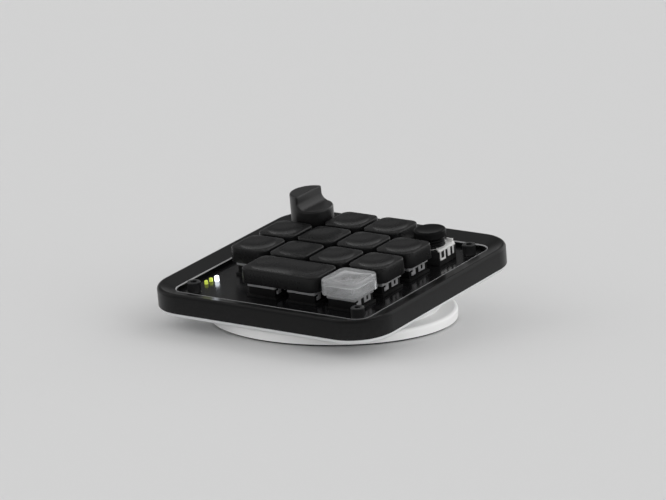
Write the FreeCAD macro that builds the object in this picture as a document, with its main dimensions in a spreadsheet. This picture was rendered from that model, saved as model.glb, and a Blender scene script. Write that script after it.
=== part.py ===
import FreeCAD, Part
import math
import os
import Sketcher
from FreeCAD import Placement, Rotation, Vector

# A tilted macro keypad on a round stand: twelve keys, two rotary knobs, a recessed black case.
# Millimetres. The stand is upright on the table, with the origin under the swivel axis.
# The pad's own heights are counted square to the pad, from the bottom edge of the black case.

doc = FreeCAD.newDocument("MacroKeypad")
sizes = doc.addObject("Spreadsheet::Sheet", "sizes")

standSizes = {
    "tilt": 7.4,                # degrees, the back edge of the pad is raised
    "discRadius": 49.4,
    "discHeight": 4.0,
    "discWall": 2.4,
    "discRoof": 1.6,
    "discRound": 1.4,
    "footThick": 0.8,
    "footInset": 1.2,
    "weightGap": 0.3,           # between the weight and the disc's roof
    "weightHoleRadius": 3.2,
    "hubRadius": 42.3,
    "hubHeight": 12.0,          # table to the hub's sloping top, on the swivel axis
    "hubWall": 2.2,
    "hubRound": 0.8,
    "spigotRadius": 8.0,
    "spigotHeight": 0.9,
    "magnetRadius": 4.0,
    "magnetThick": 1.4,
    "magnetCircle": 18.0,
    "hubScrewCircle": 26.0,
    "hubBossRadius": 3.6,
    "hubScrewRadius": 1.25,
    "hubScrewGrip": 3.2,
    "hubScrewHeadRadius": 2.4,
    "hubScrewHeadHeight": 1.2,
}
gapSizes = {
    "seatGap": 0.2,             # between the hub's top and the underside of the pad
    "runningGap": 0.05,         # radial, round anything that turns or slides
    "slipGap": 0.1,             # between fixed pieces that are put together by hand
    "slideGap": 0.2,            # each side of a key's slider
}
caseSizes = {
    "caseWidth": 109.3,
    "caseCorner": 16.5,
    "caseHeight": 7.9,
    "caseWall": 4.15,
    "rimRound": 1.35,
    "rimFlat": 0.15,            # between the round and the bezel's slope
    "bezelWidth": 8.6,
    "bezelLow": 6.0,
    "bezelCorner": 5.5,
    "bezelChamfer": 0.35,
    "shellDepth": 2.0,
    "shellInset": 0.6,
    "shellFloor": 1.4,
    "shellRound": 1.4,
    "tongueHeight": 1.6,
    "tongueThick": 1.6,
    "recessDepth": 0.8,
    "keeperRadius": 24.0,
    "keeperThick": 1.0,
}
boardSizes = {
    "boardTop": 4.0,
    "boardThick": 1.6,
    "boardCorner": 12.2,
    "screwInset": 15.25,
    "screwHeadRadius": 2.7,
    "screwHeadHeight": 4.4,
    "screwShankRadius": 1.2,
    "screwReach": 3.8,
    "hexRadius": 1.45,
    "hexDepth": 2.2,
    "boardHoleRadius": 1.7,
    "bossRadius": 3.8,
    "insertRadius": 2.1,
    "insertLength": 2.8,
    "chipWidth": 7.0,
    "chipThick": 0.9,
}
socketSizes = {
    "socketWidth": 8.94,
    "socketHeight": 3.26,
    "socketRound": 1.2,
    "socketLength": 6.0,
    "socketWall": 0.3,
    "socketLidGap": 0.07,       # under the lip of the case frame
    "socketSetBack": 1.2,
    "portGap": 0.25,
    "tongueWidth": 6.7,
    "tongueLength": 4.4,
    "tonguePlate": 0.7,
}
lampSizes = {
    "whiteLampRadius": 0.9,
    "whiteLampHeight": 2.2,
    "whiteLampSide": 16.15,     # from the left side of the case
    "whiteLampFront": 29.15,    # from its front
    "greenLampRadius": 0.75,
    "greenLampHeight": 1.5,
    "greenLampSide": 14.15,
    "greenLampFront": 26.25,
    "greenLampPitch": 3.2,
}
keySizes = {
    "keyMargin": 16.55,         # from the side of the case to the outer keys' fields
    "capGap": 1.5,
    "capTop": 16.1,
    "capHeight": 6.1,
    "capTaper": 2.0,
    "capCorner": 3.5,
    "capRound": 0.6,
    "capWall": 1.2,
    "capRoof": 1.3,
    "dishMargin": 1.575,        # from the skirt to the edge of the dish
    "dishDepth": 0.9,
    "capBossRadius": 2.8,
    "crossLength": 4.1,
    "crossThick": 1.25,
    "crossHeight": 3.4,
    "crossGap": 0.03,
    "keyTravel": 3.0,
}
switchSizes = {
    "baseWidth": 12.4,
    "baseFlangeWidth": 14.0,
    "baseFlangeHeight": 1.0,
    "baseFloor": 1.0,
    "baseWall": 1.0,
    "postRadius": 1.7,
    "postReach": 1.4,           # how far the post shows under the board
    "coverBand": 1.7,
    "coverRoof": 0.6,
    "coverWall": 1.0,
    "legThick": 0.35,
    "legDrop": 2.3,
    "hookWidth": 2.8,
    "hookAlong": -3.6,
    "clipWidth": 4.2,
    "clipAlong": 2.2,
    "clipSlotWidth": 1.4,
    "clipSlotHeight": 1.7,
    "sliderLength": 7.0,
    "sliderWidth": 5.8,
    "sliderHeight": 1.9,
    "shoulderLength": 8.6,
    "shoulderWidth": 7.4,
    "shoulderHeight": 1.0,
    "rodRadius": 0.9,
    "rodLength": 2.8,
    "wireThick": 0.5,
    "springGap": 0.3,
}
encoderSizes = {
    "encoderFloor": 0.6,
    "encoderTop": 9.9,
    "wellFloor": 2.0,
    "rotorRadius": 4.6,
    "rotorThick": 2.6,
    "rotorGap": 0.3,
    "rotorSideGap": 0.4,
    "frameWidth": 16.6,
    "frameDepth": 12.4,
    "frameThick": 0.4,
    "frameLap": 0.3,            # how far the plate stands over the base, front and back
    "framePlate": 0.6,
    "frameLegDrop": 4.2,
    "frameClipWidth": 3.8,
    "frameClipAlong": -4.0,
    "frameClipSlotWidth": 2.2,
    "frameTabWidth": 1.9,
    "frameTabAlong": 0.4,
    "frameSliverWidth": 0.9,
    "frameSliverAlong": 3.4,
    "collarRadius": 3.9,
    "collarHeight": 1.5,
    "shaftRadius": 3.0,
    "pushTravel": 0.5,
    "pushGap": 0.2,
}
knobSizes = {
    "knobLift": 0.8,            # above the encoder's metal plate
    "knobBoreGap": 0.02,
    "knobSocketGap": 0.4,
    "tallRadius": 8.7,
    "tallTop": 25.7,
    "tallRound": 0.6,
    "tallSkin": 2.0,
    "notchFloor": 19.9,
    "notchWall": -0.8,          # across, from the knob's axis
    "notchCurve": 3.1,
    "notchTurn": -1.6,          # degrees, the way the notch faces
    "roundRadius": 6.5,
    "roundTop": 17.0,
    "roundHeight": 3.0,
    "roundEdge": 0.9,
    "roundSkin": 1.6,
    "roundDish": 0.35,
    "neckRadius": 5.1,
    "neckConeHeight": 1.0,
    "ringRadius": 5.7,
    "ringHeight": 0.7,
    "ringStep": 1.3,
}


def fillSheet(groups):
    row = 1
    for group in groups:
        for name, value in group.items():
            sizes.set(f"A{row}", name)
            sizes.set(f"B{row}", str(value))
            sizes.setAlias(f"B{row}", name)
            row += 1
    doc.recompute()


def number(formula):
    return float(sizes.evalExpression(formula))


fillSheet([standSizes, gapSizes, caseSizes, boardSizes, socketSizes, lampSizes,
           keySizes, switchSizes, encoderSizes, knobSizes])

# Formulas that several pieces share
keyPitch = "(sizes.caseWidth - 2 * sizes.keyMargin) / 4"
discTop = "sizes.footThick + sizes.discHeight"
hubLowSide = f"sizes.hubHeight - ({discTop}) - sizes.hubRadius * tan(sizes.tilt)"
caseHalf = "sizes.caseWidth / 2"
shellHalf = "sizes.caseWidth / 2 - sizes.shellInset"
cavityHalf = "sizes.caseWidth / 2 - sizes.caseWall"
boardHalf = "sizes.caseWidth / 2 - sizes.caseWall - 3 * sizes.slipGap"
tongueHalf = "sizes.caseWidth / 2 - sizes.caseWall - sizes.slipGap"
windowHalf = "sizes.caseWidth / 2 - sizes.bezelWidth"
boardUnder = "sizes.boardTop - sizes.boardThick"
floorTop = "sizes.shellFloor - sizes.shellDepth"
capHalf = f"({keyPitch} - sizes.capGap) / 2"
capBottom = "sizes.capTop - sizes.capHeight"
capCeiling = "sizes.capTop - sizes.dishDepth - sizes.capRoof"
dishSphere = f"(({capHalf} - sizes.dishMargin) ^ 2 + sizes.dishDepth ^ 2) / (2 * sizes.dishDepth)"
baseFloorTop = "sizes.boardTop + sizes.baseFloor"
sliderBottom = "sizes.boardTop + sizes.baseFloor + sizes.keyTravel + sizes.slideGap"
sliderTop = f"{sliderBottom} + sizes.sliderHeight"
coverTop = f"{sliderBottom} + sizes.shoulderHeight + sizes.slipGap + sizes.coverRoof"
coverBottom = f"{coverTop} - sizes.coverBand"
coverWidth = "(sizes.baseWidth + 2 * (sizes.legThick + sizes.runningGap))"
baseCavity = "(sizes.baseWidth - 2 * sizes.baseWall)"
coverCavity = f"({coverWidth} - 2 * sizes.coverWall)"
plateTop = "sizes.encoderTop + sizes.framePlate"
knobBottom = f"{plateTop} + sizes.knobLift"
shaftBottom = "sizes.boardTop + sizes.encoderFloor + sizes.pushTravel + sizes.pushGap"
wellBottom = "sizes.boardTop + sizes.wellFloor"
rotorBottom = f"{wellBottom} + sizes.rotorGap"

padLift = number("sizes.seatGap + sizes.shellDepth")
padTurn = Rotation(Vector(1, 0, 0), number("sizes.tilt"))
hubFrame = Placement(Vector(0, 0, number("sizes.hubHeight")), padTurn)
padFrame = hubFrame.multiply(Placement(Vector(0, 0, padLift), Rotation()))

columns = ["c1", "c2", "c3", "c4"]      # from left to right
rows = ["r4", "r3", "r2", "r1"]         # from front to back
switchColumns = {"r1": ["c2", "c3"],
                 "r2": ["c1", "c2", "c3", "c4"],
                 "r3": ["c1", "c2", "c3", "c4"],
                 "r4": ["c2", "c3", "c4"]}
wideKey = {"row": "r4", "columns": ["c2", "c3"]}
knobColumns = {"tall": "c1", "round": "c4"}
knobRow = "r1"

pieces = []


def steps(name, names):
    return names.index(name) - (len(names) - 1) / 2


def across(column):
    return f"{steps(column, columns)} * {keyPitch}"


def along(row):
    return f"{steps(row, rows)} * {keyPitch}"


def keep(piece, label, frame=None):
    piece.Label = label
    if frame is not None:
        piece.Placement = frame
    pieces.append(piece)
    return piece


def frameAt(x, y, turn=0.0):
    step = Placement(Vector(number(x), number(y), 0), Rotation(Vector(0, 0, 1), turn))
    return padFrame.multiply(step)


# Sketches

def sketchOn(body, name, height="0", role="XY_Plane", rise="0"):
    plane = next(item for item in body.Origin.OriginFeatures if item.Role == role)
    sketch = body.newObject("Sketcher::SketchObject", name)
    sketch.AttachmentSupport = (plane, "")
    sketch.MapMode = "FlatFace"
    sketch.setExpression("AttachmentOffset.Base.z", height)
    sketch.setExpression("AttachmentOffset.Base.y", rise)
    return sketch


def bindLast(sketch, constraint, formula):
    index = sketch.addConstraint(constraint)
    sketch.setExpression(f"Constraints[{index}]", formula)


def drawRoundedRectangle(sketch, halfAcross, halfAlong, corner):
    a = number(halfAcross)
    b = number(halfAlong)
    r = number(corner)
    sides = [((r - a, -b), (a - r, -b)),
             ((a, r - b), (a, b - r)),
             ((a - r, b), (r - a, b)),
             ((-a, b - r), (-a, r - b))]
    corners = [(a - r, r - b), (a - r, b - r), (r - a, b - r), (r - a, r - b)]
    for start, end in sides:
        sketch.addGeometry(Part.LineSegment(Vector(*start, 0), Vector(*end, 0)))
    for turn, centre in enumerate(corners):
        circle = Part.Circle(Vector(*centre, 0), Vector(0, 0, 1), r)
        begin = math.radians(90 * turn - 90)
        sketch.addGeometry(Part.ArcOfCircle(circle, begin, begin + math.pi / 2))
    for side in range(4):
        sketch.addConstraint(Sketcher.Constraint("Tangent", side, 2, 4 + side, 1))
        sketch.addConstraint(Sketcher.Constraint("Tangent", 4 + side, 2, (side + 1) % 4, 1))
        lie = "Horizontal" if side % 2 == 0 else "Vertical"
        sketch.addConstraint(Sketcher.Constraint(lie, side))
    for arc in (5, 6, 7):
        sketch.addConstraint(Sketcher.Constraint("Equal", 4, arc))
    bindLast(sketch, Sketcher.Constraint("Radius", 4, r), corner)
    bindLast(sketch, Sketcher.Constraint("DistanceY", 0, 1, -1, 1, b), halfAlong)
    bindLast(sketch, Sketcher.Constraint("DistanceY", -1, 1, 2, 1, b), halfAlong)
    bindLast(sketch, Sketcher.Constraint("DistanceX", -1, 1, 1, 1, a), halfAcross)
    bindLast(sketch, Sketcher.Constraint("DistanceX", 3, 1, -1, 1, a), halfAcross)


def drawCircle(sketch, radius, x="0", y="0"):
    centre = Vector(number(x), number(y), 0)
    circle = sketch.addGeometry(Part.Circle(centre, Vector(0, 0, 1), number(radius)))
    bindLast(sketch, Sketcher.Constraint("Radius", circle, number(radius)), radius)
    for kind, place, formula in (("DistanceX", centre.x, x), ("DistanceY", centre.y, y)):
        if place < 0:
            constraint = Sketcher.Constraint(kind, circle, 3, -1, 1, -place)
            bindLast(sketch, constraint, f"-({formula})")
        else:
            constraint = Sketcher.Constraint(kind, -1, 1, circle, 3, place)
            bindLast(sketch, constraint, formula)


# Features of a body

def newBody(name):
    return doc.addObject("PartDesign::Body", name)


def pad(body, sketch, length, taper="0"):
    feature = body.newObject("PartDesign::Pad", "Pad")
    feature.Profile = sketch
    feature.setExpression("Length", length)
    feature.setExpression("TaperAngle", taper)
    return feature


def pocket(body, sketch, depth, upward=True, midplane=False):
    feature = body.newObject("PartDesign::Pocket", "Pocket")
    feature.Profile = sketch
    feature.setExpression("Length", depth)
    feature.Reversed = upward
    feature.Midplane = midplane
    return feature


def cutLoft(body, profile, section):
    feature = body.newObject("PartDesign::SubtractiveLoft", "Loft")
    feature.Profile = profile
    feature.Sections = [section]
    feature.Ruled = True
    return feature


def setPlace(feature, x, y, z):
    feature.setExpression("Placement.Base.x", x)
    feature.setExpression("Placement.Base.y", y)
    feature.setExpression("Placement.Base.z", z)


def block(body, kind, length, width, height, bottom, x="0", y="0"):
    feature = body.newObject(f"PartDesign::{kind}Box", f"{kind}Block")
    feature.setExpression("Length", length)
    feature.setExpression("Width", width)
    feature.setExpression("Height", height)
    setPlace(feature, f"({x}) - ({length}) / 2", f"({y}) - ({width}) / 2", bottom)
    return feature


def drum(body, kind, radius, height, bottom, x="0", y="0"):
    feature = body.newObject(f"PartDesign::{kind}Cylinder", f"{kind}Drum")
    feature.setExpression("Radius", radius)
    feature.setExpression("Height", height)
    setPlace(feature, x, y, bottom)
    return feature


def cone(body, kind, lowRadius, highRadius, height, bottom):
    feature = body.newObject(f"PartDesign::{kind}Cone", f"{kind}Cone")
    feature.setExpression("Radius1", lowRadius)
    feature.setExpression("Radius2", highRadius)
    feature.setExpression("Height", height)
    setPlace(feature, "0", "0", bottom)
    return feature


def ball(body, kind, radius, x, z):
    feature = body.newObject(f"PartDesign::{kind}Sphere", f"{kind}Ball")
    feature.setExpression("Radius", radius)
    setPlace(feature, x, "0", z)
    return feature


def levelEdges(feature, height):
    tolerance = 1e-4
    return [f"Edge{index}" for index, edge in enumerate(feature.Shape.Edges, 1)
            if abs(edge.BoundBox.ZMin - height) < tolerance
            and abs(edge.BoundBox.ZMax - height) < tolerance]


def roundOff(body, base, names, radius):
    feature = body.newObject("PartDesign::Fillet", "Fillet")
    feature.Base = (base, names)
    feature.setExpression("Radius", radius)
    return feature


# Groups of the same piece

def group(name, master, places, frame):
    links = []
    for count, (x, y, z) in enumerate(places, 1):
        link = doc.addObject("App::Link", f"{name}Link{count}")
        link.LinkedObject = master
        setPlace(link, x, y, z)
        links.append(link)
    bundle = doc.addObject("Part::Compound", name)
    bundle.Links = links
    return keep(bundle, name, frame)


# Stand

def ringPlaces(radius, count, firstTurn):
    turns = [math.radians(firstTurn + 360 / count * step) for step in range(count)]
    return [(f"{radius} * {math.cos(turn):.9f}", f"{radius} * {math.sin(turn):.9f}", "0")
            for turn in turns]


hubScrewPlaces = ringPlaces("sizes.hubScrewCircle", 3, 90)
magnetPlaces = ringPlaces("sizes.magnetCircle", 4, 45)


def makeFoot():
    body = newBody("RubberFoot")
    drum(body, "Additive", "sizes.discRadius - sizes.footInset", "sizes.footThick", "0")
    keep(body, "rubber_foot")


def makeBaseDisc():
    body = newBody("BaseDisc")
    disc = drum(body, "Additive", "sizes.discRadius", "sizes.discHeight", "sizes.footThick")
    doc.recompute()
    roundOff(body, disc, levelEdges(disc, number(discTop)), "sizes.discRound")
    drum(body, "Subtractive", "sizes.discRadius - sizes.discWall",
         "sizes.discHeight - sizes.discRoof", "sizes.footThick")
    for x, y, _ in hubScrewPlaces:
        drum(body, "Subtractive", "sizes.hubScrewRadius + sizes.slipGap",
             "sizes.discHeight", "sizes.footThick", x, y)
    keep(body, "base_disc")


def makeWeight():
    body = newBody("SteelWeight")
    drum(body, "Additive", "sizes.discRadius - sizes.discWall - sizes.slipGap",
         "sizes.discHeight - sizes.discRoof - sizes.weightGap", "sizes.footThick")
    for x, y, _ in hubScrewPlaces:
        drum(body, "Subtractive", "sizes.weightHoleRadius", "sizes.discHeight",
             "sizes.footThick", x, y)
    keep(body, "steel_weight")


def cylinder(name, radius, height):
    solid = doc.addObject("Part::Cylinder", name)
    solid.setExpression("Radius", radius)
    solid.setExpression("Height", height)
    return solid


def upright(name, radius, height, x="0", y="0", bottom="0"):
    solid = cylinder(name, radius, height)
    setPlace(solid, x, y, bottom)
    return solid


# Square to the hub's sloping top, starting at a depth below it
def sunkInHub(name, radius, height, depth, x="0", y="0"):
    solid = cylinder(name, radius, height)
    start = Vector(number(x), number(y), -number(depth))
    solid.Placement = hubFrame.multiply(Placement(start, Rotation()))
    return solid


def boolean(kind, name, first, second):
    result = doc.addObject(f"Part::{kind}", name)
    result.Base = first
    result.Tool = second
    return result


def fuse(name, solids):
    result = doc.addObject("Part::MultiFuse", name)
    result.Shapes = solids
    return result


# All that lies above the hub's sloping top, once that is lowered by drop
def slopeBlock(name, drop):
    span = "4 * sizes.hubRadius"
    tool = doc.addObject("Part::Box", name)
    for side in ("Length", "Width", "Height"):
        tool.setExpression(side, span)
    half = number(span) / 2
    lowered = Placement(Vector(-half, -half, -number(drop)), Rotation())
    tool.Placement = hubFrame.multiply(lowered)
    return tool


def makeHub():
    blankHeight = "2 * sizes.hubHeight"
    outer = boolean("Cut", "HubOuter",
                    upright("HubBlank", "sizes.hubRadius", blankHeight, bottom=discTop),
                    slopeBlock("HubSlope", "0"))
    doc.recompute()
    edgeRound = number(f"min(sizes.hubRound; ({hubLowSide}) / 2)")
    topEdges = [(index, edgeRound, edgeRound)
                for index, edge in enumerate(outer.Shape.Edges, 1)
                if edge.BoundBox.ZMax - edge.BoundBox.ZMin > edgeRound
                and not isinstance(edge.Curve, Part.Line)]
    rounded = doc.addObject("Part::Fillet", "HubRounded")
    rounded.Base = outer
    rounded.Edges = topEdges
    inner = boolean("Cut", "HubInner",
                    upright("HubHollow", "sizes.hubRadius - sizes.hubWall", blankHeight, bottom=discTop),
                    slopeBlock("HubRoof", "sizes.hubWall"))
    shell = boolean("Cut", "HubShell", rounded, inner)
    posts = fuse("HubPosts", [
        upright(f"HubPost{count}", "sizes.hubBossRadius", blankHeight, x, y, discTop)
        for count, (x, y, _) in enumerate(hubScrewPlaces, 1)])
    bosses = boolean("Common", "HubBosses", posts, outer)
    spigot = sunkInHub("HubSpigot", "sizes.spigotRadius", "sizes.spigotHeight + sizes.hubWall / 2",
                       "sizes.hubWall / 2")
    solid = fuse("HubSolid", [shell, bosses, spigot])
    pilots = [upright(f"HubPilot{count}", "sizes.hubScrewRadius", "sizes.hubScrewGrip + sizes.slipGap",
                      x, y, discTop)
              for count, (x, y, _) in enumerate(hubScrewPlaces, 1)]
    pockets = [sunkInHub(f"MagnetPocket{count}", "sizes.magnetRadius + sizes.runningGap",
                         "sizes.magnetThick + sizes.runningGap", "sizes.hubWall", x, y)
               for count, (x, y, _) in enumerate(magnetPlaces, 1)]
    keep(boolean("Cut", "WedgeHub", solid, fuse("HubHoles", pilots + pockets)), "wedge_hub")


def makeHubScrews():
    body = newBody("HubScrewPattern")
    headTop = f"{discTop} - sizes.discRoof"
    drum(body, "Additive", "sizes.hubScrewHeadRadius", "sizes.hubScrewHeadHeight",
         f"{headTop} - sizes.hubScrewHeadHeight")
    drum(body, "Additive", "sizes.hubScrewRadius", "sizes.discRoof + sizes.hubScrewGrip", headTop)
    group("hub_screws", body, hubScrewPlaces, Placement())


def makeMagnets():
    master = cylinder("MagnetPattern", "sizes.magnetRadius", "sizes.magnetThick")
    places = [(x, y, "-sizes.hubWall") for x, y, _ in magnetPlaces]
    group("hub_magnets", master, places, hubFrame)


# Case

screwPlace = f"({caseHalf} - sizes.screwInset)"
screwCorners = [(f"{left}{screwPlace}", f"{front}{screwPlace}")
                for left, front in (("-", "-"), ("", "-"), ("", ""), ("-", ""))]
socketCentre = "sizes.boardTop - sizes.socketLidGap - sizes.socketHeight / 2"
portHalfWidth = "sizes.socketWidth / 2 + sizes.portGap"
portHalfHeight = "sizes.socketHeight / 2 + sizes.portGap"


# The oval way through the back wall, from its outer face inwards
def cutPort(body, wallReach):
    sketch = sketchOn(body, "PortSketch", f"-({caseHalf})", "XZ_Plane", socketCentre)
    drawRoundedRectangle(sketch, portHalfWidth, portHalfHeight, "sizes.socketRound + sizes.portGap")
    return pocket(body, sketch, wallReach)


def makeBottomShell():
    body = newBody("BottomShell")
    corner = "sizes.caseCorner - sizes.shellInset"
    outer = sketchOn(body, "OuterSketch", "-sizes.shellDepth")
    drawRoundedRectangle(outer, shellHalf, shellHalf, corner)
    tray = pad(body, outer, "sizes.shellDepth")
    doc.recompute()
    roundOff(body, tray, levelEdges(tray, -number("sizes.shellDepth")), "sizes.shellRound")
    tongue = sketchOn(body, "TongueSketch")
    drawRoundedRectangle(tongue, tongueHalf, tongueHalf, "sizes.boardCorner + 2 * sizes.slipGap")
    pad(body, tongue, "sizes.tongueHeight")
    inside = sketchOn(body, "InsideSketch", floorTop)
    insideHalf = f"{tongueHalf} - sizes.tongueThick"
    drawRoundedRectangle(inside, insideHalf, insideHalf,
                         "sizes.boardCorner + 2 * sizes.slipGap - sizes.tongueThick")
    pocket(body, inside, f"sizes.tongueHeight - ({floorTop})")
    bosses = sketchOn(body, "BossSketch", floorTop)
    for x, y in screwCorners:
        drawCircle(bosses, "sizes.bossRadius", x, y)
    pad(body, bosses, f"{boardUnder} - ({floorTop})")
    for x, y in screwCorners:
        drum(body, "Subtractive", "sizes.insertRadius", "sizes.insertLength + sizes.slipGap",
             f"{boardUnder} - sizes.insertLength - sizes.slipGap", x, y)
    drum(body, "Subtractive", "sizes.spigotRadius + sizes.runningGap", "sizes.recessDepth",
         "-sizes.shellDepth")
    block(body, "Subtractive", "sizes.socketWidth + 2 * sizes.portGap", "2 * sizes.socketLength",
          "sizes.tongueHeight + sizes.slipGap", "sizes.slipGap", y=tongueHalf)
    keep(body, "bottom_shell", padFrame)


def makeCaseFrame():
    body = newBody("CaseFrame")
    outer = sketchOn(body, "OuterSketch")
    drawRoundedRectangle(outer, caseHalf, caseHalf, "sizes.caseCorner")
    wall = pad(body, outer, "sizes.caseHeight")
    doc.recompute()
    roundOff(body, wall, levelEdges(wall, number("sizes.caseHeight")), "sizes.rimRound")
    high = sketchOn(body, "BezelHighSketch", "sizes.caseHeight")
    rim = "(sizes.rimRound + sizes.rimFlat)"
    highHalf = f"{caseHalf} - {rim}"
    drawRoundedRectangle(high, highHalf, highHalf, f"sizes.caseCorner - {rim}")
    low = sketchOn(body, "BezelLowSketch", "sizes.bezelLow")
    lowHalf = f"{windowHalf} + sizes.bezelChamfer"
    drawRoundedRectangle(low, lowHalf, lowHalf, "sizes.bezelCorner + sizes.bezelChamfer")
    cutLoft(body, high, low)
    edgeTop = sketchOn(body, "EdgeTopSketch", "sizes.bezelLow")
    drawRoundedRectangle(edgeTop, lowHalf, lowHalf, "sizes.bezelCorner + sizes.bezelChamfer")
    edgeFoot = sketchOn(body, "EdgeFootSketch", "sizes.bezelLow - sizes.bezelChamfer")
    drawRoundedRectangle(edgeFoot, windowHalf, windowHalf, "sizes.bezelCorner")
    cutLoft(body, edgeTop, edgeFoot)
    window = sketchOn(body, "WindowSketch")
    drawRoundedRectangle(window, windowHalf, windowHalf, "sizes.bezelCorner")
    pocket(body, window, "sizes.caseHeight")
    cavity = sketchOn(body, "CavitySketch")
    drawRoundedRectangle(cavity, cavityHalf, cavityHalf, "sizes.boardCorner + 3 * sizes.slipGap")
    pocket(body, cavity, "sizes.boardTop")
    cutPort(body, "sizes.caseWall + sizes.slipGap")
    keep(body, "case_frame", padFrame)


def makeKeeper():
    body = newBody("KeeperPlate")
    drum(body, "Additive", "sizes.keeperRadius", "sizes.keeperThick", floorTop)
    keep(body, "keeper_plate", padFrame)


# Board and what stands on it

def switchPlaces(chosen):
    return [(across(column), along(row), "0") for row in chosen for column in switchColumns[row]]


def makeBoard():
    body = newBody("CircuitBoard")
    outer = sketchOn(body, "BoardSketch", boardUnder)
    drawRoundedRectangle(outer, boardHalf, boardHalf, "sizes.boardCorner")
    pad(body, outer, "sizes.boardThick")
    holes = sketchOn(body, "HoleSketch", boardUnder)
    for x, y in screwCorners:
        drawCircle(holes, "sizes.boardHoleRadius", x, y)
    for x, y, _ in switchPlaces(rows):
        drawCircle(holes, "sizes.postRadius + sizes.runningGap", x, y)
    pocket(body, holes, "sizes.boardThick")
    notchReach = "sizes.socketLength + sizes.socketSetBack - sizes.caseWall + sizes.portGap"
    block(body, "Subtractive", "sizes.socketWidth + 2 * sizes.portGap", f"2 * ({notchReach})",
          "sizes.boardThick", boardUnder, y=cavityHalf)
    keep(body, "circuit_board", padFrame)


def makeCornerScrews():
    body = newBody("CornerScrewPattern")
    drum(body, "Additive", "sizes.screwHeadRadius", "sizes.screwHeadHeight", "sizes.boardTop")
    drum(body, "Additive", "sizes.screwShankRadius", "sizes.screwReach",
         "sizes.boardTop - sizes.screwReach")
    hexagon = body.newObject("PartDesign::SubtractivePrism", "Hexagon")
    hexagon.Polygon = 6
    hexagon.setExpression("Circumradius", "sizes.hexRadius")
    hexagon.setExpression("Height", "sizes.hexDepth")
    setPlace(hexagon, "0", "0", "sizes.boardTop + sizes.screwHeadHeight - sizes.hexDepth")
    group("corner_screws", body, [(x, y, "0") for x, y in screwCorners], padFrame)


def makeInserts():
    body = newBody("InsertPattern")
    bottom = f"{boardUnder} - sizes.insertLength"
    drum(body, "Additive", "sizes.insertRadius", "sizes.insertLength", bottom)
    drum(body, "Subtractive", "sizes.screwShankRadius + sizes.runningGap", "sizes.insertLength", bottom)
    group("brass_inserts", body, [(x, y, "0") for x, y in screwCorners], padFrame)


def makeChip():
    body = newBody("ControllerChip")
    block(body, "Additive", "sizes.chipWidth", "sizes.chipWidth", "sizes.chipThick",
          f"{boardUnder} - sizes.chipThick")
    keep(body, "controller_chip", padFrame)


def makeSocket():
    body = newBody("UsbSocket")
    mouth = f"{caseHalf} - sizes.socketSetBack"
    shell = sketchOn(body, "ShellSketch", f"-({mouth})", "XZ_Plane", socketCentre)
    drawRoundedRectangle(shell, "sizes.socketWidth / 2", "sizes.socketHeight / 2", "sizes.socketRound")
    pad(body, shell, "sizes.socketLength")
    hollow = sketchOn(body, "HollowSketch", f"-({mouth})", "XZ_Plane", socketCentre)
    drawRoundedRectangle(hollow, "sizes.socketWidth / 2 - sizes.socketWall",
                         "sizes.socketHeight / 2 - sizes.socketWall",
                         "sizes.socketRound - sizes.socketWall")
    pocket(body, hollow, "sizes.socketLength - 2 * sizes.socketWall")
    block(body, "Additive", "sizes.tongueWidth", "sizes.tongueLength", "sizes.tonguePlate",
          f"{socketCentre} - sizes.tonguePlate / 2",
          y=f"{mouth} - sizes.socketLength + sizes.socketWall + sizes.tongueLength / 2")
    keep(body, "usb_socket", padFrame)


def lampBody(name, radius, height):
    body = newBody(name)
    stick = drum(body, "Additive", radius, height, "sizes.boardTop")
    doc.recompute()
    top = number(f"sizes.boardTop + {height}")
    roundOff(body, stick, levelEdges(stick, top), f"{radius} / 2")
    return body


def makeLamps():
    white = lampBody("StatusLamp", "sizes.whiteLampRadius", "sizes.whiteLampHeight")
    whiteFrame = frameAt(f"sizes.whiteLampSide - {caseHalf}", f"sizes.whiteLampFront - {caseHalf}")
    keep(white, "status_lamp", whiteFrame)
    green = lampBody("LayerLampPattern", "sizes.greenLampRadius", "sizes.greenLampHeight")
    places = [(f"sizes.greenLampSide - {caseHalf}",
               f"sizes.greenLampFront - {caseHalf} {side} sizes.greenLampPitch / 2", "0")
              for side in ("+", "-")]
    group("layer_lamps", green, places, padFrame)


# Switches

def makeSwitchBase():
    body = newBody("SwitchBasePattern")
    block(body, "Additive", "sizes.baseFlangeWidth", "sizes.baseFlangeWidth",
          "sizes.baseFlangeHeight", "sizes.boardTop")
    block(body, "Additive", "sizes.baseWidth", "sizes.baseWidth",
          f"{coverBottom} - sizes.boardTop", "sizes.boardTop")
    postBottom = f"{boardUnder} - sizes.postReach"
    drum(body, "Additive", "sizes.postRadius", f"sizes.boardTop - ({postBottom})", postBottom)
    block(body, "Subtractive", baseCavity, baseCavity, f"{coverBottom} - ({baseFloorTop})",
          baseFloorTop)
    boreBottom = f"{sliderBottom} - sizes.rodLength - sizes.keyTravel - sizes.slideGap"
    drum(body, "Subtractive", "sizes.rodRadius + sizes.runningGap",
         f"{baseFloorTop} - ({boreBottom})", boreBottom)
    return body


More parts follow.
